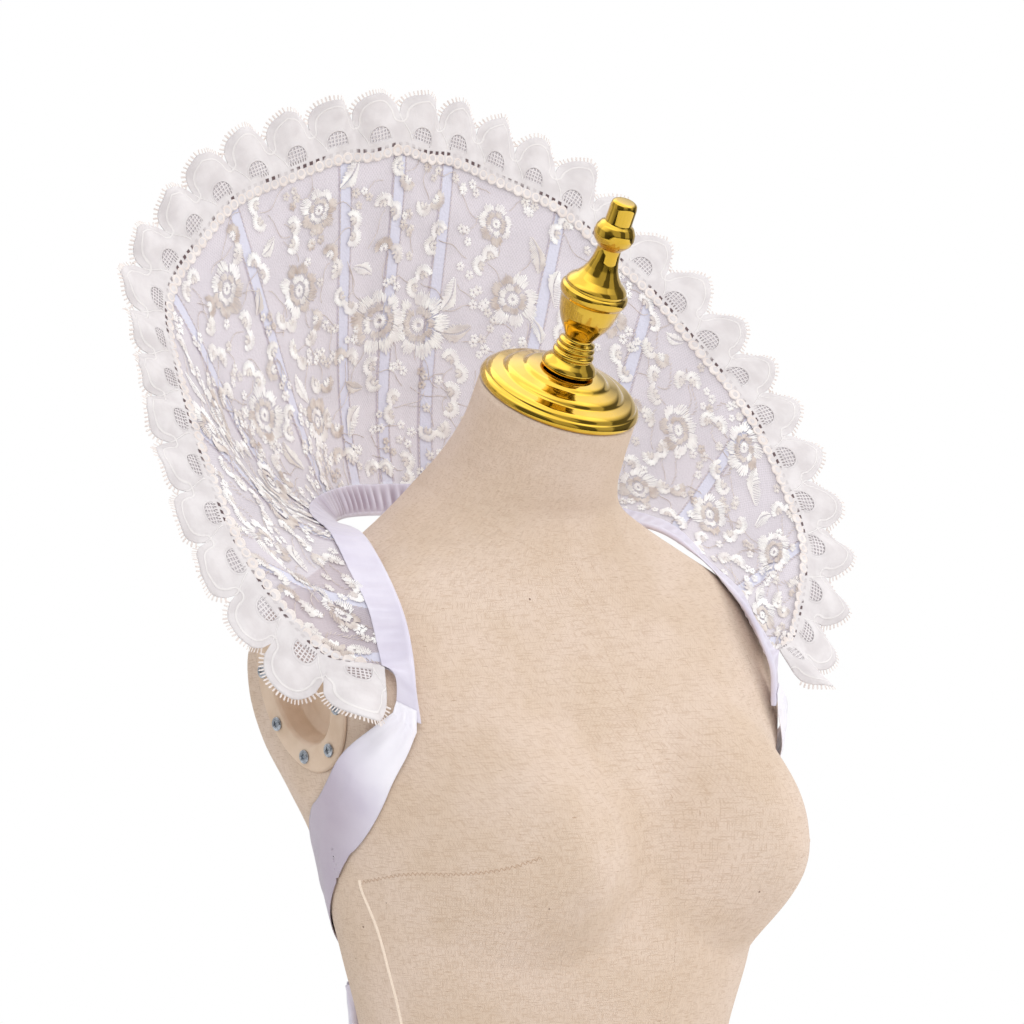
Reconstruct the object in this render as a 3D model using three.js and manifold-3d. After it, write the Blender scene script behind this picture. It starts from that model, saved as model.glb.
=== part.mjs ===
// A standing collar of embroidered net, boned, edged with scalloped lace and tied behind with a
// satin ribbon bow, resting on a limbless dress form with a turned metal neck cap.
//
// Millimetres, +Z up. +X is the wearer's left, -Y the front and +Y the back. The origin is the
// middle of the flat underside of the form.

import * as THREE from "three";
import { mergeVertices } from "three/addons/utils/BufferGeometryUtils.js";
import Module from "manifold-3d";

const wasm = await Module();
wasm.setup();

// ---------------------------------------------------------------- driving dimensions

const SEAM_GAP = 0.3; // between pieces that are sewn or laid together

const NET_THICKNESS = 1.0;
const BONE_WIDTH = 8;
const BONE_THICKNESS = 1.2;
const BONES_EACH_SIDE = 6;

const RIBBON_THICKNESS = 1.0;
const BINDING_LEAF = 17.5; // depth of the folded ribbon on each face of the net

const LACE_THICKNESS = 1.0;
const LACE_LAP = 7; // heading of the lace over the net
const LACE_REACH = 34; // from the edge of the net to the tip of a scallop
const LACE_CLEFT = 23; // from the edge of the net to the cleft between two scallops
const LACE_WAVE = 4; // half depth of the gathered wave at the tips
const SCALLOPS_EACH_SIDE = 17;
const STEPS_PER_SCALLOP = 6;

const ARM_CUT_X = 162; // the flat side of the form at the middle of the arm plate
const ARM_CUT_TILT = 4; // degrees; the lower end of the cut lies nearer the middle
const ARM_PLATE_Y = 8.6;
const ARM_PLATE_Z = 461;
const ARM_PLATE_LONG = 104;
const ARM_PLATE_SHORT = 76;
const ARM_PLATE_LEAN = 30; // degrees; the lower end of the plate lies further forward
const SCREWS_PER_PLATE = 8;
const SCREW_RADIUS = 4.2;
const FIRST_SCREW = 9; // degrees round from the plate's long axis

// The long edges of the net, from the centre back (u = 0) to its front end (u = 1): the neck edge,
// the outer edge, how far the net bows out between them and how many degrees the lace leans away
// from the wearer. A bone stands at each of the first seven rows. The last row is past the net and
// carries the binding to the ribbon.
const COLLAR_ROWS = [
  { u: 0, neck: [0, 131, 560], outer: [0, 122, 790], bow: 12, lean: 8 },
  { u: 0.077, neck: [27, 126, 560], outer: [41, 126, 784], bow: 12, lean: 8 },
  { u: 0.254, neck: [65, 103, 558], outer: [131, 123, 753], bow: 4, lean: 8 },
  { u: 0.408, neck: [99, 59, 556], outer: [191, 105, 699], bow: 16, lean: 6 },
  { u: 0.604, neck: [118, 5, 548], outer: [221, 42, 619], bow: 16, lean: 2 },
  { u: 0.779, neck: [131, -43, 512], outer: [219, -9, 540], bow: 10, lean: -4 },
  { u: 0.925, neck: [137, -62, 484], outer: [179, -41, 482], bow: 4, lean: -14 },
  { u: 1, neck: [139.5, -69, 465], outer: [150, -60, 474], bow: 0, lean: -20 },
  { u: 1.06, neck: [138, -71.5, 444], outer: [149, -61, 449], bow: 0, lean: -20 },
];
const NET_END = 1.0;
const LACE_END = 0.988;
const BINDING_END = 1.06;

// Where the net has its crosswise grid lines: shares of the depth under the binding, and shares of
// the way from there to the outer edge.
const SHARES_UNDER_BINDING = [0, 1 / 3, 2 / 3];
const SHARES_ABOVE_BINDING = [0, 0.12, 0.28, 0.46, 0.65, 0.83, 1];
const CELLS_BETWEEN_BONES = 4;

// The form's level sections: half width, depth to front and back of the centre, how square the
// section is (2 is an ellipse), where its centre lies and how far it leans forward, in degrees.
const FORM_ROWS = [
  { z: 0, side: 158, front: 100, back: 108, square: 2.2, centre: 0, lean: 0 },
  { z: 60, side: 158, front: 101, back: 108, square: 2.2, centre: 0, lean: 0 },
  { z: 130, side: 144, front: 100, back: 98, square: 2.2, centre: -4, lean: 0 },
  { z: 190, side: 122, front: 96, back: 84, square: 2.2, centre: -9, lean: 0 },
  { z: 225, side: 115, front: 98, back: 76, square: 2.2, centre: -11, lean: 0 },
  { z: 252, side: 118, front: 104, back: 78, square: 2.2, centre: -12, lean: 0 },
  { z: 297, side: 131, front: 113, back: 84, square: 2.2, centre: -13, lean: 0 },
  { z: 340, side: 141, front: 113, back: 92, square: 2.25, centre: -12, lean: 0 },
  { z: 370, side: 147, front: 110, back: 98, square: 2.3, centre: -11, lean: 0 },
  { z: 400, side: 160, front: 104, back: 104, square: 2.4, centre: -8, lean: 0 },
  { z: 430, side: 175, front: 92, back: 110, square: 2.4, centre: -4, lean: 0 },
  { z: 460, side: 183, front: 80, back: 113, square: 2.4, centre: -1, lean: 0 },
  { z: 485, side: 181, front: 66, back: 112, square: 2.4, centre: 0, lean: 0 },
  { z: 505, side: 168, front: 57, back: 108, square: 2.35, centre: 0, lean: 0 },
  { z: 522, side: 144, front: 51, back: 101, square: 2.3, centre: 0, lean: 0 },
  { z: 538, side: 115, front: 47, back: 94, square: 2.25, centre: 0, lean: 2 },
  { z: 553, side: 88, front: 45, back: 87, square: 2.2, centre: 0, lean: 5 },
  { z: 568, side: 66, front: 46, back: 78, square: 2.1, centre: 0, lean: 9 },
  { z: 585, side: 55, front: 50, back: 62, square: 2.05, centre: -5, lean: 14 },
  { z: 606, side: 51, front: 49, back: 51, square: 2, centre: -17, lean: 21 },
  { z: 633, side: 49.5, front: 49, back: 49, square: 2, centre: -31.5, lean: 28.5 },
];
const FORM_STEP = 24; // height between the rings, at most
const FORM_SEGMENTS = 40;
const BUST = { x: 80, z: 366, width: 70, below: 70, above: 94, out: 46, apart: 8 };

// The neck cap and the finial on it, turned: distance from the axis and height above the neck.
const CAP_PROFILE = [
  { r: 0, h: 0.3 },
  { r: 49, h: 0.3 },
  { r: 50, h: 3 },
  { r: 49, h: 7 },
  { r: 44, h: 9.5 },
  { r: 36, h: 11.5 },
  { r: 34, h: 14 },
  { r: 19, h: 18.5 },
  { r: 0, h: 19.5 },
];
const FINIAL_PROFILE = [
  { r: 0, h: 19.8 },
  { r: 16.7, h: 19.8 },
  { r: 16, h: 24 },
  { r: 12.2, h: 28 },
  { r: 12.8, h: 30.5 },
  { r: 11, h: 32.5 },
  { r: 12, h: 34.5 },
  { r: 10.6, h: 36 },
  { r: 11.2, h: 38 },
  { r: 8.8, h: 41 },
  { r: 15, h: 51 },
  { r: 18.5, h: 62.5 },
  { r: 20.5, h: 70 },
  { r: 20.5, h: 73.5 },
  { r: 17.5, h: 77 },
  { r: 11.4, h: 84 },
  { r: 8.4, h: 91 },
  { r: 7.2, h: 101 },
  { r: 11.4, h: 105.5 },
  { r: 12.7, h: 110 },
  { r: 11.6, h: 115 },
  { r: 8.2, h: 118 },
  { r: 8.2, h: 129.5 },
  { r: 6.5, h: 132 },
  { r: 0, h: 132 },
];
const CAP_SEGMENTS = 32;
const FINIAL_SEGMENTS = 24;

// The arm plate, turned and then pressed to an oval: an oval flange round a shallow socket.
// Distances are for the long half axis; h is outwards from the cut.
const PLATE_PROFILE = [
  { r: 0, h: -19 },
  { r: 25, h: -19 },
  { r: 33, h: -14 },
  { r: 37, h: 0.3 },
  { r: 52, h: 0.3 },
  { r: 52, h: 1 },
  { r: 50.5, h: 2.3 },
  { r: 35.5, h: 2.3 },
  { r: 33.5, h: 0 },
  { r: 30.5, h: -12 },
  { r: 24, h: -16 },
  { r: 0, h: -16 },
];
const SOCKET_PROFILE = [
  { r: 0, h: -19.3 },
  { r: 25.1, h: -19.3 },
  { r: 33.4, h: -14.2 },
  { r: 37.6, h: 1 },
  { r: 0, h: 1 },
];
const PLATE_SEGMENTS = 24;
const PLATE_FACE = 2.3; // outwards from the cut to the flange's face
const SCREW_RING = 43.5; // of the long half axis
const SCREW_HEIGHT = 1.8;
const SCREW_TAPER = 0.7; // radius of the head's top, of its foot
const SCREW_SEGMENTS = 10;

// The ribbon from the front end of the binding, under the arm and across the back to the bow: the
// turn round the form in degrees (0 at the side, 90 at the centre back), the height, the width
// that shows and how far it stands off the form.
const RIBBON_ROWS = [
  { s: 0, turn: -40.5, z: 443, width: 18, lift: 5.5 },
  { s: 0.1, turn: -33, z: 431, width: 27, lift: 4 },
  { s: 0.25, turn: -19, z: 412, width: 36, lift: 1.2 },
  { s: 0.42, turn: -3, z: 386, width: 38, lift: 1 },
  { s: 0.56, turn: 13.5, z: 359, width: 38, lift: 1 },
  { s: 0.8, turn: 46, z: 317, width: 38, lift: 1 },
  { s: 0.94, turn: 74, z: 282, width: 32, lift: 1.2 },
  { s: 1, turn: 87.5, z: 270, width: 14, lift: 1.2 },
];
const RIBBON_STEPS = 22;

const KNOT_Z = 268;
const KNOT_HALF_WIDTH = 9;
const KNOT_HALF_DEPTH = 6;
const KNOT_HALF_HEIGHT = 11;
const KNOT_SEGMENTS = [16, 10];
const KNOT_LIFT = KNOT_HALF_DEPTH + SEAM_GAP; // from the form's back to the middle of the knot

// A loop of the bow, out along its upper side and back along its lower: distance from the middle
// of the knot, fall below it, distance from the form's back and the width of the ribbon there.
const LOOP_ROWS = [
  { s: 0, out: 9.2, fall: -1, off: 6, width: 14 },
  { s: 0.14, out: 28, fall: -1, off: 8, width: 28 },
  { s: 0.34, out: 62, fall: 4, off: 10, width: 38 },
  { s: 0.48, out: 87, fall: 9, off: 9, width: 38 },
  { s: 0.52, out: 90, fall: 10, off: 14, width: 38 },
  { s: 0.58, out: 85, fall: 10, off: 20, width: 38 },
  { s: 0.8, out: 43, fall: 4, off: 21, width: 34 },
  { s: 1, out: 9.2, fall: -1, off: 9, width: 14 },
];
const LOOP_STEPS = 20;

// A tail of the bow, from under the knot down the form's back.
const TAIL_ROWS = [
  { s: 0, out: 7.5, fall: 10, off: 6.3, width: 13 },
  { s: 0.15, out: 20, fall: 40, off: 7, width: 34 },
  { s: 0.5, out: 32, fall: 112, off: 4, width: 38 },
  { s: 0.8, out: 34, fall: 172, off: 3, width: 38 },
  { s: 1, out: 38, fall: 208, off: 4, width: 38 },
];
const TAIL_STEPS = 14;
const TAIL_SLANT = 16; // how much longer the outer edge is

// ---------------------------------------------------------------- finishes

const FINISHES = {
  linen: { color: 0xdcc7b0, roughness: 0.9, metalness: 0 },
  gold: { color: 0xd9a521, roughness: 0.12, metalness: 1 },
  tanPlastic: { color: 0xbf9f7c, roughness: 0.45, metalness: 0 },
  screwSteel: { color: 0xa7adb2, roughness: 0.3, metalness: 1 },
  net: { color: 0xd3ccd7, roughness: 0.8, metalness: 0 },
  boneTape: { color: 0xdfdff0, roughness: 0.6, metalness: 0 },
  lace: { color: 0xf3eeea, roughness: 0.9, metalness: 0 },
  satin: { color: 0xe9e5f3, roughness: 0.4, metalness: 0 },
};

const collar = new THREE.Group();

function addPiece(name, geometry, finish, parent = collar) {
  const mesh = new THREE.Mesh(geometry, new THREE.MeshStandardMaterial(FINISHES[finish]));
  mesh.name = name;
  parent.add(mesh);
  return mesh;
}

// ---------------------------------------------------------------- curves and walls

const radians = THREE.MathUtils.degToRad;

// A smooth curve through rows of numbers: the slope at each inner row is that of the parabola
// through it and its neighbours.
function smoothCurve(knots, values) {
  const last = knots.length - 1;
  const slope = (a, b) => values[b].map((value, k) => (value - values[a][k]) / (knots[b] - knots[a]));
  const slopes = knots.map((_, row) => {
    if (row === 0) return slope(0, 1);
    if (row === last) return slope(last - 1, last);
    const before = knots[row] - knots[row - 1];
    const after = knots[row + 1] - knots[row];
    const ahead = slope(row, row + 1);
    return slope(row - 1, row).map((value, k) => (value * after + ahead[k] * before) / (before + after));
  });
  return (at) => {
    let row = 0;
    while (row < last - 1 && at > knots[row + 1]) row += 1;
    const span = knots[row + 1] - knots[row];
    const t = THREE.MathUtils.clamp((at - knots[row]) / span, 0, 1);
    const fromStart = 2 * t ** 3 - 3 * t ** 2 + 1;
    const fromSlope = (t ** 3 - 2 * t ** 2 + t) * span;
    const toSlope = (t ** 3 - t ** 2) * span;
    return values[row].map(
      (value, k) =>
        fromStart * value +
        fromSlope * slopes[row][k] +
        (1 - fromStart) * values[row + 1][k] +
        toSlope * slopes[row + 1][k],
    );
  };
}

function curveThrough(rows, along, columns) {
  return smoothCurve(
    rows.map((row) => row[along]),
    rows.map((row) => columns.map((column) => row[column])),
  );
}

function closedGeometry(points, index) {
  const positions = points.flatMap((point) => point.toArray());
  const geometry = new THREE.BufferGeometry();
  geometry.setAttribute("position", new THREE.Float32BufferAttribute(positions, 3));
  let volume = 0;
  for (let k = 0; k < index.length; k += 3) {
    const [a, b, c] = [points[index[k]], points[index[k + 1]], points[index[k + 2]]];
    volume += a.dot(b.clone().cross(c));
  }
  geometry.setIndex(volume > 0 ? index : index.reverse());
  geometry.computeVertexNormals();
  return geometry;
}

// A closed wall over a grid of points: pointAt(column, row, face) is on face 0 or face 1. The
// first turnedRows rows of cells are parted along their other diagonal.
function wall(columns, rows, pointAt, turnedRows = 0) {
  const points = [];
  for (const face of [0, 1]) {
    for (let i = 0; i < columns; i += 1) {
      for (let j = 0; j < rows; j += 1) points.push(pointAt(i, j, face));
    }
  }
  const at = (i, j, face) => (face * columns + i) * rows + j;
  const index = [];
  const quad = (a, b, c, d) => index.push(a, b, c, a, c, d);
  for (let i = 0; i + 1 < columns; i += 1) {
    for (let j = 0; j + 1 < rows; j += 1) {
      for (const face of [0, 1]) {
        const corners = [at(i, j, face), at(i + 1, j, face), at(i + 1, j + 1, face), at(i, j + 1, face)];
        if (j < turnedRows) corners.push(corners.shift());
        const [a, b, c, d] = corners;
        quad(a, face ? b : d, c, face ? d : b);
      }
    }
    quad(at(i, 0, 0), at(i + 1, 0, 0), at(i + 1, 0, 1), at(i, 0, 1));
    quad(at(i, rows - 1, 1), at(i + 1, rows - 1, 1), at(i + 1, rows - 1, 0), at(i, rows - 1, 0));
  }
  const end = columns - 1;
  for (let j = 0; j + 1 < rows; j += 1) {
    quad(at(0, j, 0), at(0, j, 1), at(0, j + 1, 1), at(0, j + 1, 0));
    quad(at(end, j, 1), at(end, j, 0), at(end, j + 1, 0), at(end, j + 1, 1));
  }
  return closedGeometry(points, index);
}

// A closed body through rings of points, with a flat fan over its first and last ring.
function loft(rings) {
  const around = rings[0].length;
  const middle = (ring) =>
    ring.reduce((sum, point) => sum.add(point), new THREE.Vector3()).divideScalar(around);
  const points = [...rings.flat(), middle(rings[0]), middle(rings[rings.length - 1])];
  const bottom = points.length - 2;
  const top = points.length - 1;
  const at = (ring, k) => ring * around + (k % around);
  const index = [];
  for (let k = 0; k < around; k += 1) {
    for (let ring = 0; ring + 1 < rings.length; ring += 1) {
      index.push(at(ring, k), at(ring, k + 1), at(ring + 1, k + 1));
      index.push(at(ring, k), at(ring + 1, k + 1), at(ring + 1, k));
    }
    index.push(bottom, at(0, k + 1), at(0, k));
    index.push(top, at(rings.length - 1, k), at(rings.length - 1, k + 1));
  }
  return closedGeometry(points, index);
}

function turned(profile, segments) {
  return new THREE.LatheGeometry(
    profile.map(({ r, h }) => new THREE.Vector2(r, h)),
    segments,
  );
}

// ---------------------------------------------------------------- the collar's surface

// The two halves of the collar mirror each other, so u runs from -1 on the wearer's right to 1.
const mirroredRows = [
  ...COLLAR_ROWS.slice(1)
    .reverse()
    .map(({ u, neck, outer, bow, lean }) => ({
      u: -u,
      neck: [-neck[0], neck[1], neck[2]],
      outer: [-outer[0], outer[1], outer[2]],
      bow,
      lean,
    })),
  ...COLLAR_ROWS,
];
const collarKnots = mirroredRows.map((row) => row.u);
const neckCurve = smoothCurve(
  collarKnots,
  mirroredRows.map((row) => row.neck),
);
const outerCurve = smoothCurve(
  collarKnots,
  mirroredRows.map((row) => row.outer),
);
const bowAndLeanCurve = smoothCurve(
  collarKnots,
  mirroredRows.map((row) => [row.bow, row.lean]),
);
const neckPoint = (u) => new THREE.Vector3(...neckCurve(u));
const outerPoint = (u) => new THREE.Vector3(...outerCurve(u));

const U_STEP = 0.005;

// The way out from the wearer, square to the straight line from neck to outer edge.
function awayFromWearer(u) {
  const low = Math.max(u - U_STEP, -BINDING_END);
  const high = Math.min(u + U_STEP, BINDING_END);
  const along = neckPoint(high).add(outerPoint(high)).sub(neckPoint(low)).sub(outerPoint(low));
  return outerPoint(u).sub(neckPoint(u)).cross(along).normalize();
}

// The bow is fullest a third of the way up and nothing at both edges.
const BOW_PEAK = 27 / 4;

function collarPoint(u, share) {
  const lift = bowAndLeanCurve(u)[0] * BOW_PEAK * share * (1 - share) ** 2;
  return neckPoint(u).lerp(outerPoint(u), share).addScaledVector(awayFromWearer(u), lift);
}

const netColumns = [];
const boneRows = COLLAR_ROWS.slice(0, BONES_EACH_SIDE + 1);
for (let k = 0; k < boneRows.length - 1; k += 1) {
  for (let cell = 0; cell < CELLS_BETWEEN_BONES; cell += 1) {
    netColumns.push(THREE.MathUtils.lerp(boneRows[k].u, boneRows[k + 1].u, cell / CELLS_BETWEEN_BONES));
  }
}
const lastBoneU = boneRows[BONES_EACH_SIDE].u;
netColumns.push(lastBoneU, (lastBoneU + NET_END) / 2, NET_END);
netColumns.push((NET_END + BINDING_END) / 2, BINDING_END);
const gridColumns = [
  ...netColumns
    .slice(1)
    .reverse()
    .map((u) => -u),
  ...netColumns,
];

const LEAF_SHARE_MOST = 0.85; // of the net's height, where it narrows to its end

// The collar's surface as flat cells, so that all that lies on the net follows the same facets.
const gridShares = gridColumns.map((u) => {
  const leaf = Math.min(BINDING_LEAF / neckPoint(u).distanceTo(outerPoint(u)), LEAF_SHARE_MOST);
  const above = SHARES_ABOVE_BINDING.map((share) => THREE.MathUtils.lerp(leaf, 1, share));
  return [...SHARES_UNDER_BINDING.map((share) => share * leaf), ...above];
});
const gridRows = gridShares[0].length;
const gridPoints = gridColumns.map((u, i) => gridShares[i].map((share) => collarPoint(u, share)));
// Past the last bone the outer edge runs into the neck edge, so the slope along is the neck's.
const gridNormals = gridPoints.map((column, i) =>
  column.map((_, j) => {
    const row = Math.abs(gridColumns[i]) > lastBoneU ? 0 : j;
    const before = gridPoints[Math.max(i - 1, 0)][row];
    const after = gridPoints[Math.min(i + 1, gridPoints.length - 1)][row];
    const below = column[Math.max(j - 1, 0)];
    const above = column[Math.min(j + 1, column.length - 1)];
    return above.clone().sub(below).cross(after.clone().sub(before)).normalize();
  }),
);

function cellOf(stops, at) {
  let cell = 0;
  while (cell < stops.length - 2 && at > stops[cell + 1]) cell += 1;
  return [cell, THREE.MathUtils.clamp((at - stops[cell]) / (stops[cell + 1] - stops[cell]), 0, 1)];
}

// The shares of the grid lines at u.
function sharesAt(u) {
  const [i, s] = cellOf(gridColumns, u);
  return gridShares[i].map((share, j) => THREE.MathUtils.lerp(share, gridShares[i + 1][j], s));
}

// A value inside a cell, flat over each of the two facets that meet on the cell's diagonal.
function onFacet(grid, i, s, j, t) {
  const side = s > t ? grid[i + 1][j] : grid[i][j + 1];
  return grid[i][j]
    .clone()
    .multiplyScalar(1 - Math.max(s, t))
    .addScaledVector(side, Math.abs(s - t))
    .addScaledVector(grid[i + 1][j + 1], Math.min(s, t));
}

// A point of the collar's surface, moved away from the wearer by off.
function onCollar(u, share, off) {
  const [i, s] = cellOf(gridColumns, u);
  const [j, t] = cellOf(sharesAt(u), share);
  return onFacet(gridPoints, i, s, j, t).addScaledVector(onFacet(gridNormals, i, s, j, t), off);
}

const collarHeight = (u) => onCollar(u, 0, 0).distanceTo(onCollar(u, 1, 0));
const shareAt = (u, distance) => distance / collarHeight(u);
const leafShareAt = (u) => sharesAt(u)[SHARES_UNDER_BINDING.length];

// ---------------------------------------------------------------- net, bones, binding and lace

function makeNet() {
  const columns = gridColumns.filter((u) => Math.abs(u) <= NET_END);
  const geometry = wall(columns.length, gridRows, (i, j, face) =>
    onCollar(columns[i], sharesAt(columns[i])[j], (face - 0.5) * NET_THICKNESS),
  );
  addPiece("collar_panel", geometry, "net");
}

const BONE_TOP = 4; // clear of the outer edge of the net
const BONE_FOOT = 1.5; // clear of the binding
const BONE_LIFT = 0.5; // off the net
const BONE_STEP = 0.08; // least step between a bone's rows, as a share of the net's height
const BONE_EDGES = [-0.5, 0, 0.5];

// A bone in its tape on the outer face of the net, from the binding to the lace's heading.
function makeBone(name, u) {
  const lowAt = (v) => leafShareAt(v) + shareAt(v, BONE_FOOT);
  const highAt = (v) => 1 - shareAt(v, BONE_TOP);
  const clear = (share) => share > lowAt(u) + BONE_STEP && share < highAt(u) - BONE_STEP;
  const middle = sharesAt(u).filter(clear);
  const last = middle.length + 1;
  const geometry = wall(BONE_EDGES.length, last + 1, (i, j, face) => {
    const share = [lowAt(u), ...middle, highAt(u)][j];
    const beside = onCollar(u + U_STEP, share, 0).distanceTo(onCollar(u - U_STEP, share, 0));
    const edge = u + (BONE_EDGES[i] * BONE_WIDTH * 2 * U_STEP) / beside;
    const off = NET_THICKNESS / 2 + BONE_LIFT + face * BONE_THICKNESS;
    if (j === 0) return onCollar(edge, lowAt(edge), off);
    return onCollar(edge, j === last ? highAt(edge) : share, off);
  });
  addPiece(name, geometry, "boneTape");
}

function makeBones() {
  makeBone("bone_centre", 0);
  for (let k = 1; k <= BONES_EACH_SIDE; k += 1) {
    makeBone(`bone_right_${k}`, -COLLAR_ROWS[k].u);
    makeBone(`bone_left_${k}`, COLLAR_ROWS[k].u);
  }
}

const FOLD_ROOM = 0.3; // between the fold and the net's edge, past the seam gap

// The ribbon folded over the neck edge: across its section it runs up one face of the net, from
// the wearer's side, round the edge and up the other.
function makeBinding() {
  const inner = NET_THICKNESS / 2 + SEAM_GAP;
  const up = SHARES_UNDER_BINDING.map((_, row) => ({ row, side: 1 }));
  up.push({ row: SHARES_UNDER_BINDING.length, side: 1 });
  const down = up.map(({ row }) => ({ row, side: -1 })).reverse();
  const section = [...down, { row: 0, side: 0 }, ...up];
  const geometry = wall(gridColumns.length, section.length, (i, j, face) => {
    const u = gridColumns[i];
    const { row, side } = section[j];
    const depth = inner + face * RIBBON_THICKNESS;
    if (side !== 0) return onCollar(u, gridShares[i][row], side * depth);
    const fall = onCollar(u, 0, 0).sub(onCollar(u, leafShareAt(u), 0)).normalize();
    return onCollar(u, 0, 0).addScaledVector(fall, depth + FOLD_ROOM);
  }, up.length - 1);
  addPiece("neck_binding", geometry, "satin");
}

// The lengths along the outer edge, so that the scallops come out even.
const EDGE_SAMPLES = 400;
const edgeStops = [];
for (let k = 0; k <= EDGE_SAMPLES; k += 1) edgeStops.push(LACE_END * ((2 * k) / EDGE_SAMPLES - 1));
const edgeLengths = [0];
for (let k = 1; k <= EDGE_SAMPLES; k += 1) {
  const step = outerPoint(edgeStops[k]).distanceTo(outerPoint(edgeStops[k - 1]));
  edgeLengths.push(edgeLengths[k - 1] + step);
}

function edgeU(share) {
  const [k, t] = cellOf(edgeLengths, share * edgeLengths[EDGE_SAMPLES]);
  return THREE.MathUtils.lerp(edgeStops[k], edgeStops[k + 1], t);
}

const LACE_SPAN = 0.03; // the stretch of edge that sets the way a scallop points

// The way the lace stands out from the net's outer edge.
function laceDirection(u) {
  const low = Math.max(u - LACE_SPAN, -NET_END);
  const high = Math.min(u + LACE_SPAN, NET_END);
  const along = outerPoint(high).sub(outerPoint(low)).normalize();
  const away = onCollar(u, 1, 1).sub(onCollar(u, 1, 0));
  const lean = radians(bowAndLeanCurve(u)[1]);
  return along.cross(away).normalize().multiplyScalar(Math.cos(lean)).addScaledVector(away, Math.sin(lean));
}

function makeLace() {
  const steps = 2 * SCALLOPS_EACH_SIDE * STEPS_PER_SCALLOP;
  const rows = [-LACE_LAP, 0, LACE_REACH / 2, LACE_REACH];
  const near = NET_THICKNESS / 2 + SEAM_GAP;
  const geometry = wall(steps + 1, rows.length, (i, j, face) => {
    const u = edgeU(i / steps);
    const side = -(near + face * LACE_THICKNESS);
    const heading = Math.max(1 - shareAt(u, LACE_LAP), leafShareAt(u) + shareAt(u, 2 * SEAM_GAP));
    if (rows[j] < 0) return onCollar(u, heading, side);
    const phase = (i % STEPS_PER_SCALLOP) / STEPS_PER_SCALLOP;
    const round = Math.sqrt(Math.sin(Math.PI * phase));
    const tip = THREE.MathUtils.lerp(LACE_CLEFT, LACE_REACH, round);
    const reach = (rows[j] / LACE_REACH) * tip;
    const wave = LACE_WAVE * Math.cos(2 * Math.PI * phase) * (reach / LACE_REACH);
    return onCollar(u, 1, side + wave).addScaledVector(laceDirection(u), reach);
  });
  addPiece("lace_trim", geometry, "lace");
}

// ---------------------------------------------------------------- the dress form

const formCurve = curveThrough(FORM_ROWS, "z", ["side", "front", "back", "square", "centre", "lean"]);
const signedPower = (value, power) => Math.sign(value) * Math.abs(value) ** power;

function withBust(point) {
  if (point.y >= 0) return point;
  const side = Math.sign(point.x);
  const across = (Math.abs(point.x) - BUST.x) / BUST.width;
  const up = (point.z - BUST.z) / (point.z < BUST.z ? BUST.below : BUST.above);
  const swell = Math.max(1 - across ** 2 - up ** 2, 0) ** 1.5;
  return point.add(new THREE.Vector3(side * BUST.apart * swell, -BUST.out * swell, 0));
}

// A point of the form at a height, turn degrees round from the wearer's left side to the back.
function formPoint(turn, z) {
  const [side, front, back, square, centre, lean] = formCurve(z);
  const cos = signedPower(Math.cos(radians(turn)), 2 / square);
  const sin = signedPower(Math.sin(radians(turn)), 2 / square);
  const depth = sin * (sin > 0 ? back : front);
  const tilt = radians(lean);
  const y = centre + depth * Math.cos(tilt);
  return withBust(new THREE.Vector3(side * cos, y, z + depth * Math.sin(tilt)));
}

const TURN_STEP = 0.5;
const RISE_STEP = 1;

function formSlopes(turn, z) {
  const round = formPoint(turn + TURN_STEP, z).sub(formPoint(turn - TURN_STEP, z));
  const up = formPoint(turn, z + RISE_STEP).sub(formPoint(turn, z - RISE_STEP));
  return [round.divideScalar(2 * TURN_STEP), up.divideScalar(2 * RISE_STEP)];
}

function onForm(turn, z, off) {
  const [round, up] = formSlopes(turn, z);
  return formPoint(turn, z).addScaledVector(round.cross(up).normalize(), off);
}

function toSolid(geometry) {
  const bare = geometry.clone();
  bare.deleteAttribute("normal");
  bare.deleteAttribute("uv");
  const merged = mergeVertices(bare, 1e-3);
  return new wasm.Manifold(
    new wasm.Mesh({
      numProp: 3,
      vertProperties: new Float32Array(merged.attributes.position.array),
      triVerts: new Uint32Array(merged.index.array),
    }),
  );
}

function fromSolid(solid) {
  const { vertProperties, triVerts, numProp } = solid.getMesh();
  const geometry = new THREE.BufferGeometry();
  const positions = new Float32Array((vertProperties.length / numProp) * 3);
  for (let k = 0; k < positions.length / 3; k += 1) {
    positions.set(vertProperties.subarray(k * numProp, k * numProp + 3), k * 3);
  }
  geometry.setAttribute("position", new THREE.Float32BufferAttribute(positions, 3));
  geometry.setIndex([...triVerts]);
  geometry.computeVertexNormals();
  return geometry;
}

// The frame of an arm plate: z is outwards from the cut and x along the plate's long axis.
function armFrame(side) {
  const tilt = radians(ARM_CUT_TILT);
  const out = new THREE.Vector3(side * Math.cos(tilt), 0, -Math.sin(tilt));
  const long = new THREE.Vector3(side * Math.sin(tilt), 0, Math.cos(tilt));
  long.applyAxisAngle(out, -side * radians(ARM_PLATE_LEAN));
  const frame = new THREE.Matrix4().makeBasis(long, out.clone().cross(long), out);
  return frame.setPosition(side * ARM_CUT_X, ARM_PLATE_Y, ARM_PLATE_Z);
}

// A turned body pressed to the plate's oval, standing along its frame's z.
function ovalTurned(profile, segments) {
  return turned(profile, segments)
    .rotateX(Math.PI / 2)
    .scale(1, ARM_PLATE_SHORT / ARM_PLATE_LONG, 1);
}

const CUTTER_SIDE = 200;
const CUTTER_DEPTH = 60;

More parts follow.
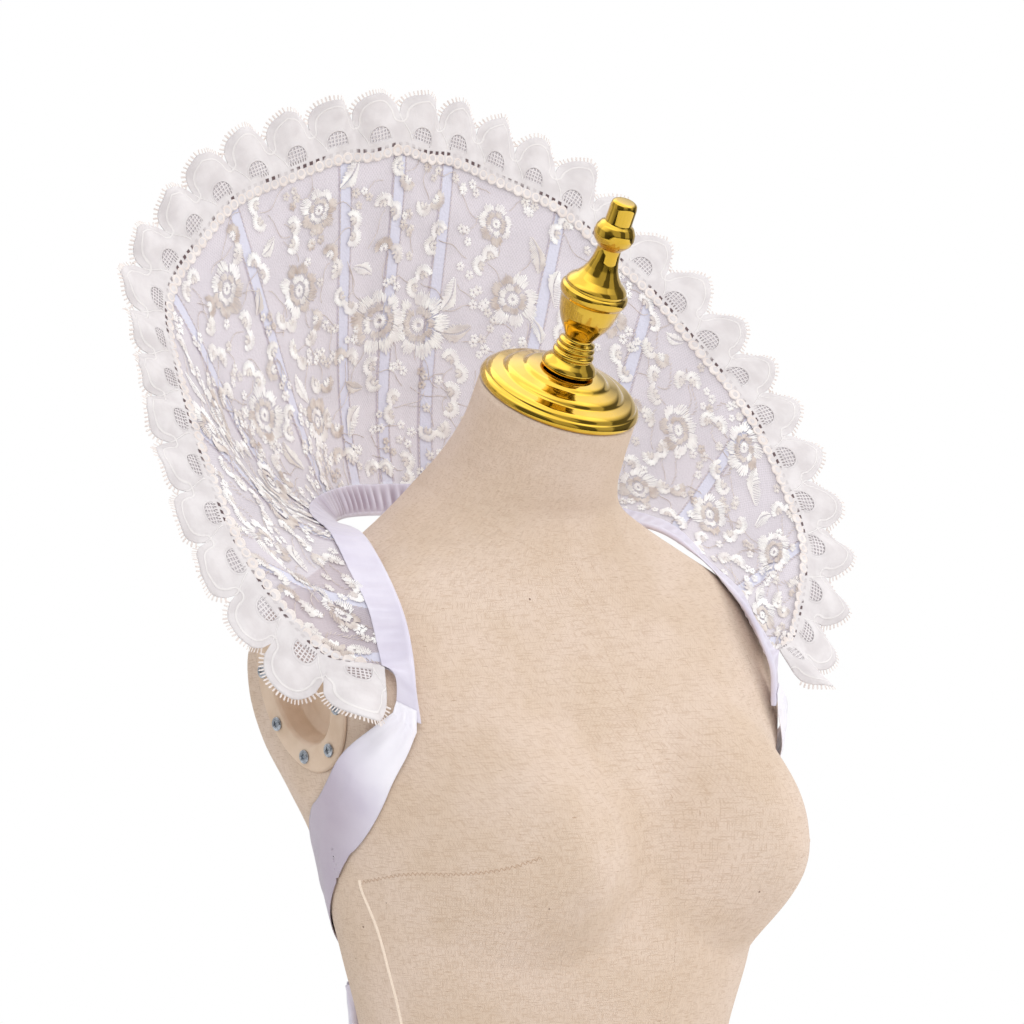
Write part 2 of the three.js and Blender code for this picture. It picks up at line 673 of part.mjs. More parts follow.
function makeForm() {
  const heights = [];
  for (let row = 0; row + 1 < FORM_ROWS.length; row += 1) {
    const [low, high] = [FORM_ROWS[row].z, FORM_ROWS[row + 1].z];
    const steps = Math.ceil((high - low) / FORM_STEP);
    for (let k = 0; k < steps; k += 1) heights.push(THREE.MathUtils.lerp(low, high, k / steps));
  }
  heights.push(FORM_ROWS[FORM_ROWS.length - 1].z);
  const rings = heights.map((z) =>
    Array.from({ length: FORM_SEGMENTS }, (_, k) => formPoint((360 * k) / FORM_SEGMENTS, z)),
  );
  let solid = toSolid(loft(rings));
  for (const side of [-1, 1]) {
    const frame = armFrame(side);
    const cutter = new THREE.BoxGeometry(CUTTER_SIDE, CUTTER_SIDE, CUTTER_DEPTH)
      .translate(0, 0, CUTTER_DEPTH / 2)
      .applyMatrix4(frame);
    const socket = ovalTurned(SOCKET_PROFILE, PLATE_SEGMENTS).applyMatrix4(frame);
    solid = solid.subtract(toSolid(cutter)).subtract(toSolid(socket));
  }
  addPiece("form_torso", fromSolid(solid), "linen");
}

function makeArmPlate(name, side) {
  const frame = armFrame(side);
  const plate = ovalTurned(PLATE_PROFILE, PLATE_SEGMENTS).applyMatrix4(frame);
  addPiece(`arm_plate_${name}`, plate, "tanPlastic");
  const seat = PLATE_FACE + SEAM_GAP;
  for (let k = 0; k < SCREWS_PER_PLATE; k += 1) {
    const angle = -side * radians(FIRST_SCREW + (360 * k) / SCREWS_PER_PLATE);
    const along = SCREW_RING * Math.cos(angle);
    const beside = (SCREW_RING * Math.sin(angle) * ARM_PLATE_SHORT) / ARM_PLATE_LONG;
    const tip = SCREW_RADIUS * SCREW_TAPER;
    const screw = new THREE.CylinderGeometry(tip, SCREW_RADIUS, SCREW_HEIGHT, SCREW_SEGMENTS)
      .rotateX(Math.PI / 2)
      .translate(along, beside, seat + SCREW_HEIGHT / 2)
      .applyMatrix4(frame);
    addPiece(`arm_screw_${name}_${k + 1}`, screw, "screwSteel");
  }
}

function makeNeckCap() {
  const neckTop = FORM_ROWS[FORM_ROWS.length - 1];
  const top = new THREE.Group();
  top.position.set(0, neckTop.centre, neckTop.z);
  top.rotation.x = Math.PI / 2 + radians(neckTop.lean);
  addPiece("form_neck_cap", turned(CAP_PROFILE, CAP_SEGMENTS), "gold", top);
  addPiece("form_finial", turned(FINIAL_PROFILE, FINIAL_SEGMENTS), "gold", top);
  collar.add(top);
}

// ---------------------------------------------------------------- ribbon and bow

const RIBBON_ACROSS = 4; // points across the ribbon
const TAIL_BEND = 4; // how late along a tail its slant sets in

function makeRibbon(name, side) {
  const path = curveThrough(RIBBON_ROWS, "s", ["turn", "z", "width", "lift"]);
  const geometry = wall(RIBBON_STEPS + 1, RIBBON_ACROSS, (i, j, face) => {
    const s = i / RIBBON_STEPS;
    const [turn, z, width, lift] = path(s);
    const [turnBack, zBack] = path(Math.max(s - U_STEP, 0));
    const [turnOn, zOn] = path(Math.min(s + U_STEP, 1));
    const [round, up] = formSlopes(turn, z);
    const along = round
      .clone()
      .multiplyScalar(turnOn - turnBack)
      .addScaledVector(up, zOn - zBack)
      .normalize();
    const across = round.clone().cross(up).normalize().cross(along);
    // The step across in turn and height, from the form's own slopes.
    const [ee, ff, gg] = [round.dot(round), round.dot(up), up.dot(up)];
    const [ae, ag] = [across.dot(round), across.dot(up)];
    const scale = ee * gg - ff * ff;
    const reach = (j / (RIBBON_ACROSS - 1) - 0.5) * width;
    const turnAt = turn + (reach * (ae * gg - ag * ff)) / scale;
    const zAt = z + (reach * (ag * ee - ae * ff)) / scale;
    const point = onForm(turnAt, zAt, lift + face * RIBBON_THICKNESS);
    return point.setX(point.x * side);
  });
  addPiece(name, geometry, "satin");
}

// A point behind the form's back, beside the middle line.
function behindBack(x, z, off) {
  const [side, , back, square, centre] = formCurve(z);
  const y = centre + back * (1 - Math.min(Math.abs(x) / side, 1) ** square) ** (1 / square);
  return new THREE.Vector3(x, y + off, z);
}

// A stretch of the bow, worked from its table; the slant lengthens its outer edge at the end.
function makeBowPiece(name, side, rows, steps, slant = 0) {
  const path = curveThrough(rows, "s", ["out", "fall", "off", "width"]);
  const middle = (s) => {
    const [out, fall, off] = path(THREE.MathUtils.clamp(s, 0, 1));
    return behindBack(side * out, KNOT_Z - fall, off);
  };
  const geometry = wall(steps + 1, RIBBON_ACROSS, (i, j, face) => {
    const s = i / steps;
    const along = middle(s + U_STEP).sub(middle(s - U_STEP)).normalize();
    const lie = rows === TAIL_ROWS ? new THREE.Vector3(side, 0, 0) : new THREE.Vector3(0, 0, 1);
    const across = lie.addScaledVector(along, -lie.dot(along)).normalize();
    const normal = along.clone().cross(across);
    const [, , , width] = path(s);
    const share = j / (RIBBON_ACROSS - 1) - 0.5;
    return middle(s)
      .addScaledVector(across, share * width)
      .addScaledVector(along, slant * share * s ** TAIL_BEND)
      .addScaledVector(normal, (face - 0.5) * RIBBON_THICKNESS);
  });
  addPiece(name, geometry, "satin");
}

function makeKnot() {
  const { x, y, z } = behindBack(0, KNOT_Z, KNOT_LIFT);
  const knot = new THREE.SphereGeometry(1, ...KNOT_SEGMENTS)
    .scale(KNOT_HALF_WIDTH, KNOT_HALF_DEPTH, KNOT_HALF_HEIGHT)
    .translate(x, y, z);
  addPiece("bow_knot", knot, "satin");
}

// ---------------------------------------------------------------- assembly

makeForm();
makeNeckCap();
makeNet();
makeBones();
makeBinding();
makeLace();
makeKnot();
for (const [name, side] of [
  ["right", -1],
  ["left", 1],
]) {
  makeArmPlate(name, side);
  makeRibbon(`ribbon_${name}`, side);
  makeBowPiece(`bow_loop_${name}`, side, LOOP_ROWS, LOOP_STEPS);
  makeBowPiece(`bow_tail_${name}`, side, TAIL_ROWS, TAIL_STEPS, TAIL_SLANT);
}

export default collar;
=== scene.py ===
"""A standing collar of boned, embroidered net on a dress form: cloth, lace, linen and metal.

Sizes are millimetres, turned into metres where a mesh is made. +X is the wearer's left, -Y the
front, +Z up. u runs along the collar from -1 on the wearer's right to 1 on the left, v from the
neck edge to the outer edge.
"""

import math

import bmesh
import bpy
import numpy as np
from mathutils import Matrix, Vector


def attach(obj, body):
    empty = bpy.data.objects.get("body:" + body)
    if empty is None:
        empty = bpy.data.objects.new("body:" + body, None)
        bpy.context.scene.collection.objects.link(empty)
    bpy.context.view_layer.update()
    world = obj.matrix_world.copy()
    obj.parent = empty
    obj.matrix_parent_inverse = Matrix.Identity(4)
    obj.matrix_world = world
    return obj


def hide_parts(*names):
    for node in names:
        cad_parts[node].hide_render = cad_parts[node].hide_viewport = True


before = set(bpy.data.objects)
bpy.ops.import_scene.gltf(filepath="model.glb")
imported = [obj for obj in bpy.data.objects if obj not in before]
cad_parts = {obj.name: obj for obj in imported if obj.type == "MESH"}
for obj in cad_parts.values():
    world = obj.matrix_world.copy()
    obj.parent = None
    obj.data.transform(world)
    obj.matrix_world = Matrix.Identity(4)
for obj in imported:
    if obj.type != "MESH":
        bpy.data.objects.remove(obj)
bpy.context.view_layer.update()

MM = 0.001

# ---------------------------------------------------------------- sizes, as in the solids

NET_END = 1.0
BINDING_END = 1.06
LACE_END = 0.988
BINDING_LEAF = 17.5
LACE_LAP = 7
LACE_REACH = 34
LACE_CLEFT = 23
LACE_WAVE = 4
SCALLOPS = 34
BONE_U = (0, 0.077, 0.254, 0.408, 0.604, 0.779, 0.925)

# u; neck edge x, y, z; outer edge x, y, z; bow of the net; lean of the lace
COLLAR_ROWS = (
    (0, 0, 131, 560, 0, 122, 790, 12, 8),
    (0.077, 27, 126, 560, 41, 126, 784, 12, 8),
    (0.254, 65, 103, 558, 131, 123, 753, 4, 8),
    (0.408, 99, 59, 556, 191, 105, 699, 16, 6),
    (0.604, 118, 5, 548, 221, 42, 619, 16, 2),
    (0.779, 131, -43, 512, 219, -9, 540, 10, -4),
    (0.925, 137, -62, 484, 179, -41, 482, 4, -14),
    (1, 139.5, -69, 465, 150, -60, 474, 0, -20),
    (1.06, 138, -71.5, 444, 149, -61, 449, 0, -20),
)

# height; half width, depth to front and back, squareness, centre and lean of the form's section
FORM_ROWS = (
    (0, 158, 100, 108, 2.2, 0, 0),
    (60, 158, 101, 108, 2.2, 0, 0),
    (130, 144, 100, 98, 2.2, -4, 0),
    (190, 122, 96, 84, 2.2, -9, 0),
    (225, 115, 98, 76, 2.2, -11, 0),
    (252, 118, 104, 78, 2.2, -12, 0),
    (297, 131, 113, 84, 2.2, -13, 0),
    (340, 141, 113, 92, 2.25, -12, 0),
    (370, 147, 110, 98, 2.3, -11, 0),
    (400, 160, 104, 104, 2.4, -8, 0),
    (430, 175, 92, 110, 2.4, -4, 0),
    (460, 183, 80, 113, 2.4, -1, 0),
    (485, 181, 66, 112, 2.4, 0, 0),
    (505, 168, 57, 108, 2.35, 0, 0),
    (522, 144, 51, 101, 2.3, 0, 0),
    (538, 115, 47, 94, 2.25, 0, 2),
    (553, 88, 45, 87, 2.2, 0, 5),
    (568, 66, 46, 78, 2.1, 0, 9),
    (585, 55, 50, 62, 2.05, -5, 14),
    (606, 51, 49, 51, 2, -17, 21),
    (633, 49.5, 49, 49, 2, -31.5, 28.5),
)
BUST = {"x": 80, "z": 366, "width": 70, "below": 70, "above": 94, "out": 46, "apart": 8}

ARM_CUT_X = 162
ARM_CUT_TILT = 4
ARM_PLATE_Y = 8.6
ARM_PLATE_Z = 461
ARM_PLATE_LONG = 104
ARM_PLATE_SHORT = 76
ARM_PLATE_LEAN = 30
SCREWS_PER_PLATE = 8
SCREW_RADIUS = 4.2
FIRST_SCREW = 9
SCREW_RING = 43.5
PLATE_FACE = 2.3

CAP_PROFILE = (
    (0, 0.3), (49, 0.3), (50, 1.6), (50, 3.4), (48.8, 5.6), (47.2, 6.4), (46.6, 8), (44, 9.6),
    (37.6, 10.6), (36.4, 12.6), (34, 14), (27, 15.4), (24.5, 17.6), (19, 18.5), (0, 19.5),
)
FINIAL_PROFILE = (
    (0, 19.8), (16.7, 19.8), (17.2, 22), (16, 24), (13.4, 26.4), (12.2, 28), (12.8, 29.2),
    (12.8, 31), (11, 32), (11.2, 33), (12, 33.8), (12, 35), (10.6, 35.8), (11.2, 37), (11.2, 38.2),
    (9, 39.6), (8.8, 41), (11.6, 45.6), (15, 51), (17, 56), (18.5, 62.5), (19, 66.5), (20.5, 68.4),
    (21, 70.8), (20.5, 73.2), (18.6, 74.4), (19, 76), (17.5, 78), (14, 81), (11.4, 84.6),
    (9.4, 88.6), (8.2, 93), (7.4, 99), (7.4, 101.4), (9.4, 103.4), (11.6, 106), (12.7, 109.6),
    (12.2, 113.4), (10.4, 116.4), (8.3, 118), (8.2, 128.6), (7.6, 131), (6, 132), (0, 132),
)
PLATE_PROFILE = (
    (0, -19), (25, -19), (33, -14), (37, 0.3), (52, 0.3), (52, 1), (50.5, 2.3), (35.5, 2.3),
    (33.5, 0), (30.5, -12), (24, -16), (0, -16),
)

# s; turn round the form, height, width and lift of the ribbon
RIBBON_ROWS = (
    (0, -40.5, 443, 18, 5.5),
    (0.1, -33, 431, 27, 4),
    (0.25, -19, 412, 36, 1.2),
    (0.42, -3, 386, 38, 1),
    (0.56, 13.5, 359, 38, 1),
    (0.8, 46, 317, 38, 1),
    (0.94, 74, 282, 32, 1.2),
    (1, 87.5, 270, 14, 1.2),
)
KNOT_Z = 268
KNOT_SIZE = (9, 6, 11)
KNOT_LIFT = 6.3

# s; out from the knot, fall below it, off the back, width of the ribbon
LOOP_ROWS = (
    (0, 9.2, -1, 6, 14),
    (0.14, 28, -1, 8, 28),
    (0.34, 62, 4, 10, 38),
    (0.48, 87, 9, 9, 38),
    (0.52, 90, 10, 14, 38),
    (0.58, 85, 10, 20, 38),
    (0.8, 43, 4, 21, 34),
    (1, 9.2, -1, 9, 14),
)
TAIL_ROWS = (
    (0, 7.5, 10, 6.3, 13),
    (0.15, 20, 40, 7, 34),
    (0.5, 32, 112, 4, 38),
    (0.8, 34, 172, 3, 38),
    (1, 38, 208, 4, 38),
)
TAIL_SLANT = 16

SIDES = (("right", -1), ("left", 1))

# ---------------------------------------------------------------- curves


def smooth_curve(knots, values):
    """A smooth curve through rows of numbers, the slope at a row that of the parabola there."""
    knots = np.asarray(knots, float)
    values = np.asarray(values, float)
    step = np.diff(knots)
    rise = np.diff(values, axis=0) / step[:, None]
    slopes = np.empty_like(values)
    slopes[0], slopes[-1] = rise[0], rise[-1]
    weights = (step[:-1] + step[1:])[:, None]
    slopes[1:-1] = (rise[:-1] * step[1:, None] + rise[1:] * step[:-1, None]) / weights

    def at(x):
        x = np.asarray(x, float)
        row = np.clip(np.searchsorted(knots, x, side="left") - 1, 0, len(knots) - 2)
        span = step[row][..., None]
        t = np.clip((x[..., None] - knots[row][..., None]) / span, 0, 1)
        start = 2 * t**3 - 3 * t**2 + 1
        leave = (t**3 - 2 * t**2 + t) * span
        arrive = (t**3 - t**2) * span
        along = start * values[row] + leave * slopes[row]
        return along + (1 - start) * values[row + 1] + arrive * slopes[row + 1]

    return at


def unit(vectors):
    return vectors / (np.linalg.norm(vectors, axis=-1, keepdims=True) + 1e-12)


def smoothstep(low, high, x):
    t = np.clip((x - low) / (high - low), 0, 1)
    return t * t * (3 - 2 * t)


def run_along(points):
    """The length along a row of points, from 0 at the first."""
    return np.concatenate([[0], np.cumsum(np.linalg.norm(np.diff(points, axis=0), axis=-1))])


CORNER_STEPS = 3


def rounded(profile, radius):
    """The profile with each inner corner rounded by a short curve."""
    points = np.array(profile, float)
    out = [points[0]]
    for before, corner, after in zip(points, points[1:], points[2:]):
        start, end = before - corner, after - corner
        lengths = [np.linalg.norm(leg) for leg in (start, end)]
        reach = [min(radius, 0.45 * length) / length for length in lengths]
        first, last = corner + start * reach[0], corner + end * reach[1]
        for t in np.linspace(0, 1, CORNER_STEPS + 1):
            out.append(first * (1 - t) ** 2 + 2 * corner * t * (1 - t) + last * t**2)
    out.append(points[-1])
    return np.array(out)


# ---------------------------------------------------------------- the collar's surface

left_rows = np.array(COLLAR_ROWS, float)
whole_rows = np.concatenate([left_rows[:0:-1] * (-1, -1, 1, 1, -1, 1, 1, 1, 1), left_rows])
neck_edge = smooth_curve(whole_rows[:, 0], whole_rows[:, 1:4])
outer_edge = smooth_curve(whole_rows[:, 0], whole_rows[:, 4:7])
bow_and_lean = smooth_curve(whole_rows[:, 0], whole_rows[:, 7:9])

BOW_PEAK = 27 / 4
BAY_SAG = 2.2  # the net sags away from the wearer between two bones
EDGE_DIP = 0.012  # the outer edge dips between two bones, as a share of the height
GATHER = 0.9  # puckers where the net is drawn into the binding
GATHERS = 46
# creases of the net: u and v of both ends, and how far it rises
CREASES = (
    (-0.70, 0.86, -0.84, 0.22, 3.0), (-0.735, 0.55, -0.86, 0.5, -2.2), (0.72, 0.8, 0.84, 0.3, 2.0),
)
CREASE_WIDTH = 0.012
CREASE_TALL = 0.35  # a step up the net, against one of the same number along it
SLOPE_STEP = 0.004  # of u, to either side, where a slope is measured
EDGE_STOPS = 801
LEAF_MOST = 0.85  # of the net's height, where the net is narrow


def bay(u):
    """0 on a bone, 1 in the middle between two bones."""
    knots = np.array(BONE_U + (NET_END,))
    place = np.interp(np.abs(u), knots, np.arange(len(knots)))
    return np.sin(np.pi * np.clip(place, 0, len(knots) - 1)) ** 2


def collar_height(u):
    return np.linalg.norm(outer_edge(u) - neck_edge(u), axis=-1)


def net_ripple(u, v):
    """How far the cloth lies out of its drafted surface, in millimetres."""
    narrow = smoothstep(10, 60, collar_height(u))
    sag = BAY_SAG * bay(u) * np.sin(np.pi * np.clip(v, 0, 1)) ** 0.8
    fade = np.exp(-v * collar_height(u) / 16) - np.exp(-v * collar_height(u) / 5)
    behind = 0.2 + 0.8 * smoothstep(0.5, 0.3, np.abs(u))
    gather = GATHER * behind * np.sin(GATHERS * 2 * np.pi * u + 2 * np.sin(9 * u)) * fade * 1.6
    total = sag + gather
    for u0, v0, u1, v1, depth in CREASES:
        along = np.array([u1 - u0, (v1 - v0) * CREASE_TALL])
        length = np.linalg.norm(along)
        du, dv = u - u0, (v - v0) * CREASE_TALL
        t = (du * along[0] + dv * along[1]) / length**2
        side = (du * along[1] - dv * along[0]) / length
        across = np.exp(-((side / CREASE_WIDTH) ** 2))
        total = total + depth * across * np.clip(4 * t * (1 - t), 0, 1)
    return total * narrow


def drafted(u, v):
    """A point of the net as it is cut, before its ripples."""
    low, high = np.clip(u - 0.005, -BINDING_END, None), np.clip(u + 0.005, None, BINDING_END)
    along = neck_edge(high) + outer_edge(high) - neck_edge(low) - outer_edge(low)
    away = unit(np.cross(outer_edge(u) - neck_edge(u), along))
    v = (v * (1 - EDGE_DIP * bay(u)))[..., None]
    lift = bow_and_lean(u)[..., :1] * BOW_PEAK * v * (1 - v) ** 2
    return neck_edge(u) * (1 - v) + outer_edge(u) * v + away * lift


def collar_frame(u, v):
    """Along, up and away from the wearer, each of length 1, at a point of the collar."""
    over = np.where(np.abs(u) > BONE_U[-1], 0.0, v)
    low = np.clip(u - SLOPE_STEP, -BINDING_END, None)
    high = np.clip(u + SLOPE_STEP, None, BINDING_END)
    along = unit(drafted(high, over) - drafted(low, over))
    up = drafted(u, np.clip(v + 0.03, None, 1)) - drafted(u, np.clip(v - 0.03, 0, None))
    away = unit(np.cross(up, along))
    return along, unit(np.cross(along, away)), away


def on_collar(u, v, off=0.0):
    """A point of the net, moved away from the wearer by off."""
    u, v, off = np.broadcast_arrays(*(np.asarray(x, float) for x in (u, v, off)))
    away = collar_frame(u, v)[2]
    return drafted(u, v) + away * (off + net_ripple(u, v))[..., None]


def width_per_u(u, v):
    """Millimetres along the net for each 1 of u."""
    across = drafted(u + SLOPE_STEP, v) - drafted(u - SLOPE_STEP, v)
    return np.linalg.norm(across, axis=-1) / (2 * SLOPE_STEP)


def leaf_share(u):
    """How far up the net the binding reaches, as a share of its height."""
    return np.minimum(BINDING_LEAF / collar_height(u), LEAF_MOST)


def edge_lengths(edge, end):
    """Where along u each length of an edge lies."""
    stops = np.linspace(-end, end, EDGE_STOPS)
    return stops, run_along(edge(stops))


SCALLOP_PITCH = edge_lengths(outer_edge, LACE_END)[1][-1] / SCALLOPS

# ---------------------------------------------------------------- the form's surface

form_section = smooth_curve([r[0] for r in FORM_ROWS], [r[1:] for r in FORM_ROWS])


def on_form(turn, z, off=0.0):
    """A point of the form, turn degrees from the wearer's left side to the back."""
    turn, z, off = np.broadcast_arrays(*(np.asarray(x, float) for x in (turn, z, off)))

    def bare(turn, z):
        side, front, back, square, centre, lean = np.moveaxis(form_section(z), -1, 0)
        cos, sin = np.cos(np.radians(turn)), np.sin(np.radians(turn))
        cos = np.sign(cos) * np.abs(cos) ** (2 / square)
        sin = np.sign(sin) * np.abs(sin) ** (2 / square)
        depth = sin * np.where(sin > 0, back, front)
        lean = np.radians(lean)
        x, y = side * cos, centre + depth * np.cos(lean)
        height = z + depth * np.sin(lean)
        across = (np.abs(x) - BUST["x"]) / BUST["width"]
        reach = np.where(height < BUST["z"], BUST["below"], BUST["above"])
        swell = np.clip(1 - across**2 - ((height - BUST["z"]) / reach) ** 2, 0, None) ** 1.5
        swell = np.where(y < 0, swell, 0)
        return np.stack([x + np.sign(x) * BUST["apart"] * swell, y - BUST["out"] * swell, height], -1)

    point = bare(turn, z)
    if not np.any(off):
        return point
    sideways = bare(turn + 0.5, z) - bare(turn - 0.5, z)
    up = bare(turn, z + 1) - bare(turn, z - 1)
    return point + unit(np.cross(sideways, up)) * off[..., None]


def arm_frame(side):
    """Rows: the plate's long axis, its short axis and the way out, and then its centre."""
    tilt, lean = math.radians(ARM_CUT_TILT), -side * math.radians(ARM_PLATE_LEAN)
    out = Vector((side * math.cos(tilt), 0, -math.sin(tilt)))
    long = Vector((side * math.sin(tilt), 0, math.cos(tilt)))
    long = Matrix.Rotation(lean, 3, out) @ long
    centre = np.array([side * ARM_CUT_X, ARM_PLATE_Y, ARM_PLATE_Z])
    return np.array([long, out.cross(long), out]), centre


# ---------------------------------------------------------------- nodes


def feed(tree, socket, value):
    """Joins the socket to a node's output, or gives it a number or a colour."""
    if isinstance(value, Value):
        value = value.socket
    if isinstance(value, bpy.types.NodeSocket):
        tree.links.new(value, socket)
    else:
        socket.default_value = (*value, 1) if isinstance(value, tuple) else value


def add_node(tree, kind, *values, **settings):
    """A node whose inputs are set or joined in their order."""
    node = tree.nodes.new(kind)
    for label, value in settings.items():
        setattr(node, label, value)
    for socket, value in zip([s for s in node.inputs if s.enabled], values):
        feed(tree, socket, value)
    return node


class Value:
    """A number that changes over a surface. Sums done on it add math nodes to its tree."""

    def __init__(self, tree, socket):
        self.tree = tree
        self.socket = socket

    def math(self, operation, *others):
        node = add_node(self.tree, "ShaderNodeMath", self, *others, operation=operation)
        return Value(self.tree, node.outputs[0])

    def __add__(self, other):
        return self.math("ADD", other)

    def __sub__(self, other):
        return self.math("SUBTRACT", other)

    def __mul__(self, other):
        return self.math("MULTIPLY", other)

    def __truediv__(self, other):
        return self.math("DIVIDE", other)

    def __pow__(self, other):
        return self.math("POWER", other)

    def __abs__(self):
        return self.math("ABSOLUTE")

    def sine(self):
        return self.math("SINE")

    def most(self, other):
        return self.math("MAXIMUM", other)

    def ramp(self, low, high, start=0.0, end=1.0):
        """From low to high this becomes start to end, smoothly and held at both ends."""
        node = add_node(self.tree, "ShaderNodeMapRange", interpolation_type="SMOOTHSTEP")
        numbers = {"Value": self, "From Min": low, "From Max": high, "To Min": start, "To Max": end}
        for label, value in numbers.items():
            feed(self.tree, node.inputs[label], value)
        return Value(self.tree, node.outputs["Result"])


# ---------------------------------------------------------------- meshes


def add_object(name, mesh):
    thing = bpy.data.objects.new(name, mesh)
    bpy.context.scene.collection.objects.link(thing)
    return thing


def name_values(mesh, values):
    """Puts one number per point in the mesh, under each name."""
    for label, numbers in (values or {}).items():
        own = mesh.attributes.new(label, "FLOAT", "POINT")
        own.data.foreach_set("value", np.asarray(numbers, np.float32).ravel())


def add_mesh(name, points, faces, finish, uv=None, values=None, around=0.0):
    """A piece from points in millimetres. uv and the named values have one entry per point.

    around is the length after which uv starts again on a piece that closes on itself.
    """
    mesh = bpy.data.meshes.new(name)
    mesh.from_pydata((np.asarray(points) * MM).tolist(), [], [list(map(int, f)) for f in faces])
    mesh.validate()
    mesh.shade_smooth()
    corners = np.empty(len(mesh.loops), np.int32)
    mesh.loops.foreach_get("vertex_index", corners)
    if uv is not None:
        flat = np.asarray(uv, float)[corners]
        if around:
            starts, counts = (np.empty(len(mesh.polygons), np.int32) for _ in range(2))
            mesh.polygons.foreach_get("loop_start", starts)
            mesh.polygons.foreach_get("loop_total", counts)
            last = np.repeat(np.maximum.reduceat(flat[:, 0], starts), counts)
            flat[:, 0] += around * (flat[:, 0] < last - around / 2)
        mesh.uv_layers.new(name="UVMap").data.foreach_set("uv", (flat * MM).ravel())
    name_values(mesh, values)
    mesh.materials.append(finish)
    return add_object(name, mesh)


def quads(columns, rows, start=0, loop=False):
    """Faces over a grid of points kept column by column."""
    i, j = np.meshgrid(np.arange(columns - (not loop)), np.arange(rows - 1), indexing="ij")
    i, j = i.ravel(), j.ravel()
    k = (i + 1) % columns
    return start + np.stack([i * rows + j, k * rows + j, k * rows + j + 1, i * rows + j + 1], 1)


def capped_faces(columns, rows):
    """Faces round a closed grid and over both its ends, whose two middles follow its points."""
    low = columns * rows
    faces = [list(f) for f in quads(columns, rows, loop=True)]
    for k in range(columns):
        after = (k + 1) % columns
        faces.append([low, after * rows, k * rows])
        faces.append([low + 1, k * rows + rows - 1, after * rows + rows - 1])
    return faces


def volume_sign(points, faces):
    """Above 0 where the faces of four corners point outwards."""
    a, b, c, d = (points[faces[:, k]] for k in range(4))
    return np.sum(np.cross(b - a, c - a) * a) + np.sum(np.cross(c - a, d - a) * a)


def add_wall(name, face_a, face_b, finish, uv, values=None):
    """A closed thin wall between two grids of points of the same shape."""
    columns, rows = face_a.shape[:2]
    points = np.concatenate([face_a.reshape(-1, 3), face_b.reshape(-1, 3)])
    count = columns * rows
    rim = [i * rows for i in range(columns)] + [(columns - 1) * rows + j for j in range(1, rows)]
    rim += [i * rows + rows - 1 for i in range(columns - 2, -1, -1)] + list(range(rows - 2, 0, -1))
    rim = np.array(rim)
    ahead = np.roll(rim, -1)
    front = quads(columns, rows)
    faces = np.concatenate([
        front,
        quads(columns, rows, count)[:, ::-1],
        np.stack([ahead, rim, rim + count, ahead + count], 1),
    ])
    if volume_sign(points - points.mean(0), faces) < 0:
        faces = faces[:, ::-1]
    both = {label: np.tile(np.ravel(v), 2) for label, v in (values or {}).items()}
    return add_mesh(name, points, faces, finish, np.tile(uv.reshape(-1, 2), (2, 1)), both)


LATHE_COLUMNS = 128
LATHE_WIDTH = 40  # radius, in millimetres, that a turned piece's pattern is laid out for


def add_lathe(name, profile, finish, place):
    """A turned piece from its radii and heights. place moves its points to where they belong."""
    r, h = np.array(profile, float)[1:-1].T
    angle = np.linspace(0, 2 * np.pi, LATHE_COLUMNS, endpoint=False)[:, None]
    ring = np.stack([r * np.cos(angle), r * np.sin(angle), h + 0 * angle], -1)
    points = np.concatenate([ring.reshape(-1, 3), [[0, 0, profile[0][1]], [0, 0, profile[-1][1]]]])
    length = run_along(np.stack([r, h], -1))
    uv = np.stack(np.broadcast_arrays(angle * LATHE_WIDTH, length), -1)
    uv = np.concatenate([uv.reshape(-1, 2), [[0, 0], [0, length[-1]]]])
    faces = capped_faces(LATHE_COLUMNS, len(r))
    return add_mesh(name, place(points), faces, finish, uv, around=math.tau * LATHE_WIDTH)


def quaternions(along, away):
    """Turns that bring +X to along and +Z to away."""
    out = np.empty((len(along), 4))
    across = unit(np.cross(away, along))
    away = np.cross(along, across)
    for k, (x, y, z) in enumerate(zip(along, across, away)):
        out[k] = Matrix((x, y, z)).transposed().to_quaternion()
    return out


